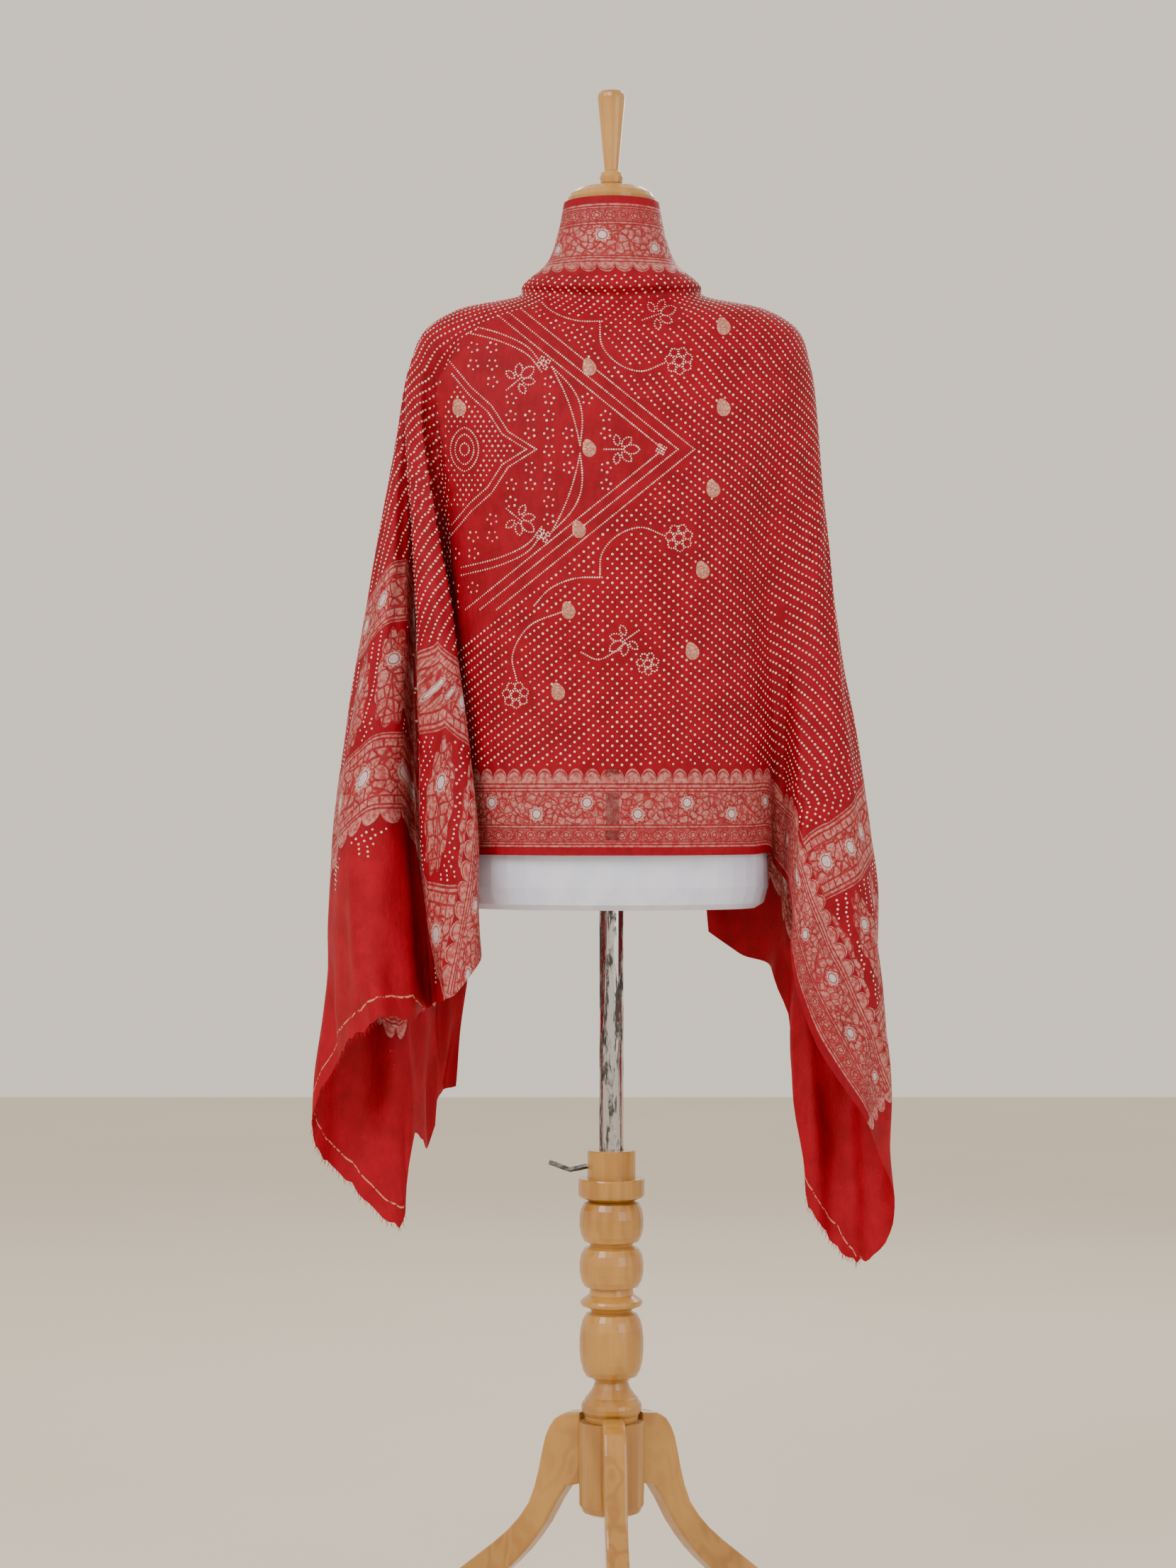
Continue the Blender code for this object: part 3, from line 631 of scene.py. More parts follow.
def border_group(flower, leaves):
    """The woven border: from the plain edge in, a row of small flowers, a vine with large ones, and scallops."""
    tree, n, inp, out = new_group(
        "woven border",
        [("Along", "Float", 0.0), ("In", "Float", 0.0)],
        [("Silver", "Float"), ("Outline", "Float"), ("Centre", "Float")],
    )
    along, inward = inp["Along"], inp["In"]
    top = n.plus(SCALLOP_FOOT, n.times(n.dome(along, SCALLOP_PITCH), SCALLOP_TALL))
    under_top = n.minus(top, inward)
    past_edge = n.ramp(inward, PLAIN_EDGE - 0.0004, PLAIN_EDGE + 0.0004)
    ground = n.times(past_edge, n.ramp(under_top, -0.0003, 0.0003))
    scallop_line = n.ramp(n.apart(under_top, SCALLOP_LINE), 0.0009, 0.0004)
    scallops = n.times(scallop_line, n.ramp(inward, SCALLOP_FOOT - 0.0015, SCALLOP_FOOT - 0.0003))
    stripes = lines_at(n, inward, BORDER_STRIPES)

    off = n.minus(inward, SMALL_MIDDLE)
    small = n.group(flower, Along=along, Off=off, Repeat=SMALL_PITCH, Radius=SMALL_RADIUS)
    between = n.times(n.rest_of(small["Petals"]), 0.75)
    small_row = n.times(n.most(small["Outline"], between), n.band(inward, *SMALL_ZONE))

    off = n.minus(inward, MAIN_MIDDLE)
    swing = n.math("SIGN", n.sine(n.times(along, math.pi / MAIN_PITCH)))
    off_swung = n.minus(off, n.times(swing, MAIN_SWING))
    large = n.group(flower, Along=along, Off=off_swung, Repeat=MAIN_PITCH, Radius=MAIN_RADIUS)
    wave = n.times(n.sine(n.times(along, 2 * math.pi / MAIN_PITCH)), VINE_SWING)
    vine = n.ramp(n.apart(off, wave), 0.0011, 0.0004)
    leafy = n.group(leaves, Place=n.vector(along, inward), Cells_per_metre=135.0, Line=0.12)[0]
    main_zone = n.band(inward, *MAIN_ZONE)
    filler = n.times(n.most(n.times(leafy, 0.9), vine), n.rest_of(large["Petals"]))
    main_row = n.times(n.most(filler, large["Outline"]), main_zone)

    n.join(ground, out["Silver"])
    n.join(n.most(main_row, small_row, stripes, scallops), out["Outline"])
    n.join(n.times(large["Centre"], main_zone), out["Centre"])
    return tree


def end_band(n, flower, leafy, to_end, across, limits, radius):
    """The masks of one band across the woven end: its silver, its red lines and its pale centres."""
    low, high = limits
    zone = n.band(to_end, low, high)
    off = n.minus(to_end, (low + high) / 2)
    flowers = n.group(flower, Along=across, Off=off, Repeat=END_FLOWER_PITCH, Radius=radius)
    places = [low + step for step in END_STRIPES] + [high - step for step in reversed(END_STRIPES)]
    stripes = lines_at(n, to_end, places, 0.0009)
    bars = n.band(n.math("FRACT", n.over(across, END_BAR_PITCH)), 0.0, 0.16, 0.02)
    start, stop = END_BARS
    edges = n.most(n.band(to_end, low + start, low + stop), n.band(to_end, high - stop, high - start))
    core = n.band(to_end, low + END_CORE, high - END_CORE)
    filler = n.times(leafy, n.rest_of(flowers["Petals"]))
    middle = n.times(n.most(filler, flowers["Outline"]), core)
    outline = n.times(n.most(middle, stripes, n.times(edges, bars)), zone)
    return zone, outline, n.times(flowers["Centre"], core, zone)


def tall_motifs(n, flower, leafy, to_end, across):
    """The masks of the tall motifs: leafy ovals with a lobed rim, each with a flower, on red."""
    cell = n.times(n.in_repeat(across, MOTIF_PITCH), MOTIF_PITCH)
    high = n.minus(to_end, sum(END_MOTIFS) / 2)
    wide = n.over(cell, MOTIF_WIDE)
    tall = n.over(high, MOTIF_TALL)
    turn = n.math("ARCTAN2", tall, wide)
    rim = n.plus(0.86, n.times(n.size(n.sine(n.times(turn, 5.5))), 0.17))
    motif = n.ramp(n.minus(n.length(wide, tall), rim), 0.015, -0.015)
    rib = n.ramp(n.apart(n.size(cell), n.times(n.size(high), 0.10)), 0.0011, 0.0004)
    heart = n.group(flower, Along=across, Off=n.minus(high, MOTIF_HEART), Repeat=MOTIF_PITCH, Radius=0.0110)
    inside = n.most(n.times(n.most(leafy, rib), n.rest_of(heart["Petals"])), heart["Outline"])
    zone = n.band(to_end, *END_MOTIFS)
    return n.times(motif, zone), n.times(inside, zone), n.times(heart["Centre"], zone, motif)


def end_group(flower, leaves):
    """The woven end: two bands, a row of tall motifs between them, and scallops beyond the last band."""
    tree, n, inp, out = new_group(
        "woven end",
        [("To end", "Float", 0.0), ("Across", "Float", 0.0)],
        [("Silver", "Float"), ("Outline", "Float"), ("Centre", "Float")],
    )
    to_end, across = inp["To end"], inp["Across"]
    leafy = n.group(leaves, Place=n.vector(across, to_end), Cells_per_metre=92.0, Line=0.11)[0]
    masks = [end_band(n, flower, leafy, to_end, across, limits, radius) for limits, radius in END_BANDS]
    masks.append(tall_motifs(n, flower, leafy, to_end, across))
    silver, outline, centre = (n.most(*kind) for kind in zip(*masks))
    rim = n.minus(END_BAND_B[0], n.times(n.dome(across, END_SCALLOP_PITCH), END_SCALLOP_TALL))
    beyond = n.ramp(to_end, END_BAND_B[0] + 0.001, END_BAND_B[0])
    scallops = n.times(n.ramp(n.minus(to_end, rim), -0.0003, 0.0003), beyond)
    n.join(n.most(silver, scallops), out["Silver"])
    n.join(outline, out["Outline"])
    n.join(centre, out["Centre"])
    return tree


def crepe_group():
    """Crepe silk: a fine crinkle and a hint of its weave, as a height, and a shade: painted shade, darker where
    the crinkle is low, over a slow random change of tone.
    """
    tree, n, inp, out = new_group(
        "crepe",
        [("Place", "Vector", (0.0, 0.0, 0.0))],
        [("Height", "Float"), ("Shade", "Float")],
    )
    fine = n.noise(inp["Place"], 900.0, 2.0)
    crinkle = n.noise(n.stretch(inp["Place"], (1.0, 1.0, 0.45)), 190.0, 4.0, 0.65)
    soft = n.noise(inp["Place"], 42.0, 3.0)
    height = n.plus(n.times(crinkle, 0.7), n.times(fine, 0.3))
    n.join(n.plus(height, n.times(soft, 0.8)), out["Height"])
    # The shade reuses the crinkle's noise, so the silk is painted darker in the crinkle's hollows: painted
    # shade, over a slow random change of tone.
    n.join(n.plus(n.times(soft, 0.6), n.times(crinkle, 0.4)), out["Shade"])
    return tree


def silk_material(border, end, crepe):
    """The dyed silk: red field, woven borders and ends, and the gold line near each frayed end."""
    made, n, shader = new_material("dyed_silk", Specular_IOR_Level=0.16)
    edge_u, edge_v, _ = n.split(n.add("ShaderNodeUVMap", uv_map="border").outputs[0])
    end_u, end_v, _ = n.split(n.add("ShaderNodeUVMap", uv_map="end").outputs[0])
    place = n.object_place()
    woven = n.group(border, Along=edge_u, In=edge_v)
    beyond_plain = n.ramp(end_u, END_BAND_B[0] - 0.001, END_BAND_B[0] + 0.001)
    edge_silver = n.times(woven["Silver"], beyond_plain)
    ends = n.group(end, To_end=end_u, Across=end_v)
    in_border = n.times(n.ramp(edge_v, BORDER + 0.001, BORDER - 0.001), beyond_plain)
    end_silver = n.times(ends["Silver"], n.rest_of(in_border))
    silver = n.most(edge_silver, end_silver)
    outline = n.most(n.times(woven["Outline"], edge_silver), n.times(ends["Outline"], end_silver))
    centre = n.most(n.times(woven["Centre"], edge_silver), n.times(ends["Centre"], end_silver))

    crinkle = n.group(crepe, Place=place)
    worn = n.noise(place, 260.0, 2.0)
    # Both reds turn darker where the crinkle is low: painted shade in its hollows, over a slow random change of
    # tone.
    ground = n.mix(n.ramp(crinkle["Shade"], 0.35, 0.65), DEEP_RED, RED)
    plain = n.mix(n.ramp(crinkle["Shade"], 0.3, 0.7), PLAIN_SHADE, PLAIN_RED)
    ground = n.mix(n.ramp(end_u, END_PLAIN, END_PLAIN - 0.04), ground, plain)
    thread = n.mix(n.ramp(worn, 0.38, 0.62), SILVER_PINK, SILVER_PALE)
    thread = n.mix(n.times(centre, 0.85), thread, SILVER_WHITE)
    drawn = n.times(silver, n.rest_of(n.times(outline, 0.88)))
    drawn = n.times(drawn, n.plus(n.times(n.ramp(worn, 0.25, 0.5), 0.25), 0.75))
    gold = n.times(n.band(end_u, *END_LINE), n.ramp(n.noise(place, 300.0), 0.42, 0.5))
    colour = n.mix(n.times(gold, 0.8), n.mix(drawn, ground, thread), GOLD)
    n.join(colour, shader.inputs["Base Color"])
    n.join(n.lerp(drawn, 0.60, 0.42), shader.inputs["Roughness"])
    n.join(n.times(drawn, 0.16), shader.inputs["Metallic"])
    n.join(n.bump(crinkle["Height"], 0.0011, 1.0, n.bump(drawn, 0.0004)), shader.inputs["Normal"])
    return made


def dot_material():
    """Undyed silk where a thread was tied: cream, stained pink in places."""
    made, n, shader = new_material("undyed_dots")
    place = n.object_place()
    stain = n.ramp(n.noise(place, 210.0, 1.0), 0.35, 0.62)
    n.join(n.mix(stain, DOT_STAIN, DOT_CREAM), shader.inputs["Base Color"])
    n.join(n.lerp(n.noise(place, 90.0), 0.55, 0.75), shader.inputs["Roughness"])
    return made


def zari_material(leaves):
    """Metallic thread of the small woven drops."""
    made, n, shader = new_material("silver_thread")
    place = n.object_place()
    outline = n.group(leaves, Place=n.stretch(place, (1.0, 0.2, 1.0)), Cells_per_metre=260.0, Line=0.10)[0]
    thread = n.mix(n.ramp(n.noise(place, 500.0), 0.35, 0.65), DROP_DARK, DROP_PALE)
    n.join(n.mix(n.times(outline, 0.55), thread, RED), shader.inputs["Base Color"])
    n.join(n.lerp(outline, 0.40, 0.60), shader.inputs["Roughness"])
    n.join(n.times(n.rest_of(outline), 0.35), shader.inputs["Metallic"])
    n.join(n.bump(outline, 0.0003, 0.6), shader.inputs["Normal"])
    return made


def grain_group():
    """Wood grain along Z: long figure, fine pores and a slow change of tone."""
    tree, n, inp, out = new_group(
        "beech grain",
        [("Place", "Vector", (0.0, 0.0, 0.0)), ("Length", "Float", 0.06)],
        [("Figure", "Float"), ("Pores", "Float"), ("Tone", "Float")],
    )
    x, y, z = n.split(inp["Place"])
    long_place = n.vector(x, y, n.times(z, inp["Length"]))
    warp = n.times(n.noise(long_place, 14.0, 3.0), 0.6)
    rings = n.sine(n.times(n.plus(n.noise(long_place, 22.0, 2.0), warp), 46.0))
    n.join(n.ramp(rings, -1.0, 1.0), out["Figure"])
    n.join(n.ramp(n.noise(long_place, 900.0, 2.0), 0.58, 0.68), out["Pores"])
    n.join(n.noise(inp["Place"], 9.0, 2.0), out["Tone"])
    return tree


def beech_material(grain, name, turn):
    """Varnished honey-coloured beech. `turn` lays the grain along a piece, as angles in radians."""
    made, n, shader = new_material(name, Coat_Weight=0.55, Coat_Roughness=0.10)
    mapping = n.add("ShaderNodeMapping")
    n.join(n.object_place(), mapping.inputs["Vector"])
    mapping.inputs["Rotation"].default_value = turn
    wood = n.group(grain, Place=mapping.outputs[0])
    tone = n.mix(n.ramp(wood["Tone"], 0.35, 0.65), BEECH_DARK, BEECH_PALE)
    tone = n.mix(n.times(wood["Figure"], 0.32), tone, BEECH_FIGURE)
    tone = n.mix(n.times(wood["Pores"], 0.35), tone, BEECH_PORES)
    n.join(tone, shader.inputs["Base Color"])
    n.join(n.lerp(wood["Tone"], 0.28, 0.42), shader.inputs["Roughness"])
    n.join(n.bump(wood["Pores"], 0.0001, 0.4), shader.inputs["Normal"])
    return made


def form_material():
    """The form's smooth shell, faintly mottled."""
    made, n, shader = new_material("form_shell", Coat_Weight=0.15, Coat_Roughness=0.3)
    place = n.object_place()
    mottle = n.noise(place, 26.0, 4.0, 0.6)
    n.join(n.mix(n.ramp(mottle, 0.35, 0.65), FORM_SHADE, FORM_PALE), shader.inputs["Base Color"])
    n.join(n.lerp(mottle, 0.35, 0.50), shader.inputs["Roughness"])
    n.join(n.bump(n.noise(place, 420.0, 2.0), 0.0002, 0.3), shader.inputs["Normal"])
    return made


def chrome_material():
    """Plated steel tube, worn dull in places and streaked along its length; its near-black streaks and patches
    are partly wear and partly painted dark reflection.
    """
    made, n, shader = new_material("worn_chrome_painted_reflections", metallic=1.0)
    place = n.object_place()
    wear_and_reflection_streaks = n.noise(n.stretch(place, (1.0, 1.0, 0.12)), 160.0, 4.0, 0.7)
    patches = n.noise(n.stretch(place, (1.0, 1.0, 0.5)), 45.0, 4.0, 0.65)
    # Near-black where the long streaks and the patches meet: partly worn plating, partly painted dark
    # reflection.
    worn = n.times(n.ramp(wear_and_reflection_streaks, 0.46, 0.54), n.ramp(patches, 0.40, 0.52))
    n.join(n.mix(worn, PLATE, WORN_PLATE_AND_DARK_REFLECTION), shader.inputs["Base Color"])
    n.join(n.lerp(worn, 0.14, 0.60), shader.inputs["Roughness"])
    n.join(n.bump(worn, 0.0002, 0.5), shader.inputs["Normal"])
    return made


def steel_material():
    """The lever's dark steel, drawn and scuffed."""
    made, n, shader = new_material("dark_steel", metallic=1.0)
    scuff = n.noise(n.stretch(n.object_place(), (0.2, 1.0, 1.0)), 420.0, 3.0)
    n.join(n.mix(n.ramp(scuff, 0.4, 0.65), STEEL_DARK, STEEL_SCUFFED), shader.inputs["Base Color"])
    n.join(n.lerp(scuff, 0.30, 0.55), shader.inputs["Roughness"])
    return made


# Pieces on the cloth
def mesh_object(name, vertices, faces, finish):
    """A smooth-shaded mesh, linked to the scene."""
    mesh = bpy.data.meshes.new(name)
    mesh.from_pydata([tuple(v) for v in vertices], [], faces)
    mesh.update()
    mesh.shade_smooth()
    mesh.materials.append(finish)
    obj = bpy.data.objects.new(name, mesh)
    bpy.context.scene.collection.objects.link(obj)
    return obj


def make_cloth(drape, finish):
    """The cloth as one sheet, with its two maps of the flat cloth."""
    columns, rows = drape.columns, drape.rows
    index = np.arange(columns * rows).reshape(columns, rows)
    quads = np.stack([index[:-1, :-1], index[:-1, 1:], index[1:, 1:], index[1:, :-1]], axis=-1)
    obj = mesh_object("bandhani_silk", (drape.points + AXIS).reshape(-1, 3).tolist(),
                      quads.reshape(-1, 4).tolist(), finish)
    c, r = np.arange(columns - 1), np.arange(rows - 1)
    i = np.broadcast_to(np.stack([c, c, c + 1, c + 1], axis=-1)[:, None, :], (columns - 1, rows - 1, 4))
    j = np.broadcast_to(np.stack([r, r + 1, r + 1, r], axis=-1)[None, :, :], (columns - 1, rows - 1, 4))
    on_neck = np.broadcast_to((r < drape.tuck_row)[None, :, None], i.shape)
    by_back = (drape.from_back[i, j].min(axis=2, keepdims=True) < BORDER + 0.004) & ~on_neck
    along = np.where(by_back, drape.from_top[i, j], drape.side[i, j] * drape.to_end[i, j])
    along = np.where(on_neck, drape.arc[i, j] * NECK_STRETCH, along)
    inward = np.where(by_back, drape.from_back[i, j], drape.to_edge[i, j])
    inward = np.where(on_neck, drape.from_top[i, j], inward)
    to_end = np.where(on_neck, NO_END, drape.to_end[i, j])
    for name, u, v in (("border", along, inward), ("end", to_end, drape.to_edge[i, j])):
        layer = obj.data.uv_layers.new(name=name)
        layer.data.foreach_set("uv", np.stack([u, v], axis=-1).astype(np.float32).ravel())
    return obj


def front_sight(drape):
    """A tree of the front panel's faces, to lay the drawn pattern on it by sight from the front."""
    low, high = drape.panel[0] - 6, drape.panel[1] + 10
    points = drape.points[low:high + 1, drape.tuck_row:]
    columns, rows = points.shape[:2]
    faces = [(i * rows + j, i * rows + j + 1, (i + 1) * rows + j + 1, (i + 1) * rows + j)
             for i in range(columns - 1) for j in range(rows - 1)]
    return BVHTree.FromPolygons(points.reshape(-1, 3).tolist(), faces)


def lay(tree, places):
    """Points and normals on the front panel, seen from the camera behind (x, z) places of the drawing."""
    points, normals = [], []
    for x, z in places:
        sight = (Vector((x, DRAWING_PLANE, z)) - EYE).normalized()
        hit, normal, _, _ = tree.ray_cast(EYE, sight)
        if hit is not None:
            points.append(hit)
            normals.append(normal if normal.dot(sight) < 0 else -normal)
    return points, normals


def drawing_place(spot):
    """The (x, z) place of the drawing that lies in front of a spot on the cloth."""
    scale = (CAMERA_REACH + DRAWING_PLANE) / (CAMERA_REACH + spot[1])
    x = CAMERA_ASIDE + (spot[0] - CAMERA_ASIDE) * scale
    return x, CAMERA_HEIGHT + (spot[2] - CAMERA_HEIGHT) * scale


def resample(path, step, closed=False):
    """Points at an even step along a path of (x, z)."""
    path = np.asarray(path + [path[0]] if closed else path, float)
    gaps = np.linalg.norm(np.diff(path, axis=0), axis=1)
    along = np.concatenate([[0], np.cumsum(gaps)])
    count = max(int(along[-1] / step), 2)
    at = np.linspace(0, along[-1], count + 1)
    return list(zip(np.interp(at, along, path[:, 0]), np.interp(at, along, path[:, 1])))


def rounded(path, parts=6, closed=False):
    """A smooth path through (x, z) points."""
    points = [*path, path[0]] if closed else list(path)
    last = len(points) - 1
    return [tuple(p) for p in curve_through(points, np.linspace(0, last, parts * last + 1))]


# The drawing on the front, as (x, z) in metres on the chest's plane. It mirrors about one height, so
# heights in these tables are measured from it.
MIRROR_HEIGHT = 1.2125
RHOMBUS_TIP = 0.079
RHOMBUS_REACH = 0.190
RHOMBUS_SLOPE = math.tan(math.radians(39))
RHOMBUS_SLANT = 1.6
RHOMBUS_STEPS = (0.0, 0.0160, 0.0300)      # how far left the tips of its three lines stand
STAR_CENTRE = -0.142
STAR_HALF = [(0.069, 0.0), (0.042, 0.017), (0.026, 0.042), (0.006, 0.060), (-0.014, 0.084)]
STAR_SCALES = (1.0, 0.86)
STAR_RINGS = [(0.042, 0.027), (0.029, 0.018), (0.012, 0.009)]
# The grids of the rounds inside the rhombus and of the close dots inside the star: start, stop and step
ROUND_COLUMNS, ROUND_ROWS = (-0.170, 0.075, 0.0182), (1.030, 1.370, 0.0165)
STAR_COLUMNS, STAR_ROWS = (-0.160, -0.080, 0.0056), (1.150, 1.290, 0.0047)
GARLAND = [(-0.145, 0.121), (-0.107, 0.111), (-0.081, 0.098), (-0.068, 0.082)]
GARLAND_STEP = 0.0075
LEAF_ENDS = ((-0.058, 0.079), (-0.031, 0.004))
LEAF_BOW, LEAF_HALF = 0.0085, 0.0050
VINES = [
    [(-0.012, 0.122), (-0.010, 0.100), (0.006, 0.082), (0.028, 0.075), (0.050, 0.083)],
    [(-0.075, 0.150), (-0.060, 0.134), (-0.036, 0.124), (-0.010, 0.123)],
]
LOW_VINES = [
    [(-0.092, -0.222), (-0.096, -0.198), (-0.080, -0.170), (-0.048, -0.156)],
    [(-0.030, -0.195), (-0.014, -0.202), (0.000, -0.196), (0.012, -0.186)],
]
# Sprays are x, height and the way they point, in degrees. Each leaf is its turn, reach and length.
SPRAYS = [(-0.091, 0.066, 40), (-0.091, -0.066, -40), (0.006, 0.0, 0), (0.014, -0.182, 215), (0.042, 0.129, 20)]
SPRAY_LEAVES = [(0, 0.0125, 0.015), (0.75, 0.0105, 0.012), (-0.75, 0.0105, 0.012),
                (1.75, 0.0090, 0.010), (-1.75, 0.0090, 0.010)]
# Flowers are x, height and size. One no larger than SMALL_FLOWER has fewer petals.
FLOWERS = [(0.064, 0.085, 0.0135), (0.064, -0.085, 0.0135), (-0.093, -0.236, 0.0130), (0.034, -0.206, 0.0110),
           (0.047, 0.0, 0.0052), (-0.066, 0.083, 0.0065), (-0.066, -0.083, 0.0065)]
SMALL_FLOWER = 0.01
# Woven drops are columns: x, whether shifted by half a pitch, and the first and last drop from the mirror.
DROP_COLUMNS = [(-0.147, 1, -1, 0), (-0.022, 0, -3, 1), (0.107, 1, -3, 1), (0.186, 0, -2, -2)]
DROP_PITCH, DROP_LEAN = 0.078, -0.010
DROP_SIDES, DROP_RADIUS, DROP_CLEAR = 22, 0.0066, 0.0045
DROP_HEIGHTS = (0.0009, 0.0008, 0.0001)    # at its middle, half-way out and at its rim


def drop_places():
    """The woven drops stand in columns, every other column shifted by half a pitch."""
    places = []
    for x, shifted, first, last in DROP_COLUMNS:
        for k in range(first, last + 1):
            lean = DROP_LEAN * max(-k, 0)
            places.append((x + lean, MIRROR_HEIGHT + (k + 0.5 * shifted) * DROP_PITCH))
    return places


def almond(cx, cz, length, width, turn, parts=14):
    """A closed pointed oval."""
    path = []
    for k in range(parts):
        a = 2 * math.pi * k / parts
        x, z = length / 2 * math.cos(a), width / 2 * math.sin(a) * abs(math.sin(a)) ** 0.3
        c, s = math.cos(turn), math.sin(turn)
        path.append((cx + x * c - z * s, cz + x * s + z * c))
    return path


def both_ways(path):
    """A path given by heights from the mirror, above it and below it."""
    return [[(x, MIRROR_HEIGHT + up * h) for x, h in path] for up in (1, -1)]


def leaf_sides():
    """The two sides of the long leaf that hangs from the garland."""
    (x0, h0), (x1, h1) = LEAF_ENDS
    length = math.hypot(x1 - x0, h1 - h0)
    across, up = -(h1 - h0) / length, (x1 - x0) / length
    sides = []
    for half in (LEAF_HALF, -LEAF_HALF):
        side = []
        for t in np.linspace(0, 1, 12):
            out = (LEAF_BOW + half) * math.sin(math.pi * t)
            side.append((x0 + (x1 - x0) * t + across * out, h0 + (h1 - h0) * t + up * out))
        sides.append(side)
    return sides


def spray(cx, cz, turn):
    """A stem and five leaves."""
    a = math.radians(turn)
    c, s = math.cos(a), math.sin(a)
    paths = [([(cx + 0.005 * c, cz + 0.005 * s), (cx - 0.014 * c, cz - 0.014 * s)], False)]
    for spread, reach, size in SPRAY_LEAVES:
        b = a + spread
        leaf = almond(cx + reach * math.cos(b), cz + reach * math.sin(b), size, size * 0.6, b)
        paths.append((leaf, True))
    return paths


def blossom(cx, cz, size):
    """A ring of round petals about a small oval."""
    petals = 7 if size > SMALL_FLOWER else 4
    reach = size * 0.68
    paths = [(almond(cx, cz, size * 0.7, size * 0.62, 0.4), True)]
    for k in range(petals):
        a = 2 * math.pi * k / petals + 0.3
        petal = almond(cx + reach * math.cos(a), cz + reach * math.sin(a), size * 0.60, size * 0.62, a)
        paths.append((petal, True))
    return paths


def drawn_paths():
    """Every tied line of the drawing: (path, closed)."""
    halves = []
    for step in RHOMBUS_STEPS:
        tip = RHOMBUS_TIP - step
        halves.append([(tip, 0.0), (tip - RHOMBUS_REACH, RHOMBUS_REACH * RHOMBUS_SLOPE)])
    halves += [[(STAR_CENTRE + x * scale, h * scale) for x, h in STAR_HALF] for scale in STAR_SCALES]
    halves += [rounded([(x, h - step) for x, h in GARLAND], 6) for step in (0.0, GARLAND_STEP)]
    halves += leaf_sides() + [rounded(vine, 6) for vine in VINES]
    paths = [(path, False) for half in halves for path in both_ways(half)]
    paths += [(both_ways(rounded(vine, 6))[0], False) for vine in LOW_VINES]
    for length, width in STAR_RINGS:
        ring = almond(STAR_CENTRE, MIRROR_HEIGHT, length, width, math.pi / 2)
        paths.append((rounded(ring, 3, True), True))
    for x, h, turn in SPRAYS:
        paths += spray(x, MIRROR_HEIGHT + h, turn)
    for x, h, size in FLOWERS:
        paths += blossom(x, MIRROR_HEIGHT + h, size)
    return paths


def in_rhombus(x, z, margin=0.0):
    """Whether a place is inside the rhombus's outer line, by a margin square to its slanting side."""
    return x < RHOMBUS_TIP - abs(z - MIRROR_HEIGHT) / RHOMBUS_SLOPE - margin * RHOMBUS_SLANT


def around_drops():
    """Places round the woven drops, which the dots keep clear of."""
    turns = np.arange(6) * math.pi / 3
    return [(x + DROP_CLEAR * math.cos(a), z + DROP_CLEAR * math.sin(a))
            for x, z in drop_places() for a in turns]


def near_drawing(x, z, marks, clear):
    """Whether a place is closer to any mark than `clear`."""
    return bool((((marks - (x, z)) ** 2).sum(axis=1) < clear * clear).any())


def open_red(to_end, across):
    """Where dots stand in the woven end: round the tall motifs, and in pointed patches beyond the bands."""
    cell = ((across / MOTIF_PITCH) % 1 - 0.5) * MOTIF_PITCH / MOTIF_WIDE
    high = (to_end - sum(END_MOTIFS) / 2) / MOTIF_TALL
    in_row = (to_end > END_MOTIFS[0] + BAND_CLEAR) & (to_end < END_MOTIFS[1] - BAND_CLEAR)
    start = END_BAND_B[0]
    in_strip = (to_end > start - 0.046) & (to_end < start - 0.017)
    off_point = np.abs((across / PATCH_PITCH) % 1 - 0.5)
    in_patch = off_point < PATCH_HALF * (to_end - start + 0.05) / 0.033
    return (in_row & (np.hypot(cell, high) > 1.12)) | (in_strip & in_patch)


def dot_rows(drape):
    """The rows of tied dots, each as its number and, per column of the drape, the grid row it passes."""
    tuck = drape.from_top[:, drape.tuck_row]
    below = drape.from_top - tuck[:, None]
    arcs = drape.arc[:, drape.yoke_row + 20]
    left, right = (abs(arcs[c]) for c in drape.panel)
    past = np.maximum(np.abs(arcs) - np.where(arcs < 0, left, right), 0.0)
    slope = ROW_SLOPE * (np.sqrt(past ** 2 + 0.0025) - 0.05)
    for number, depth in enumerate(np.arange(-0.10, below[:, -1].max(), DOT_STEP / 2)):
        target = depth + slope * smooth(0.02, 0.20, depth)
        row = np.full(drape.columns, np.nan)
        for c in range(drape.columns):
            if BORDER + EDGE_CLEAR - tuck[c] < target[c] < below[c, -1] - EDGE_CLEAR:
                row[c] = np.interp(target[c], below[c], np.arange(drape.rows))
        if (~np.isnan(row)).sum() >= 3:
            yield number, row


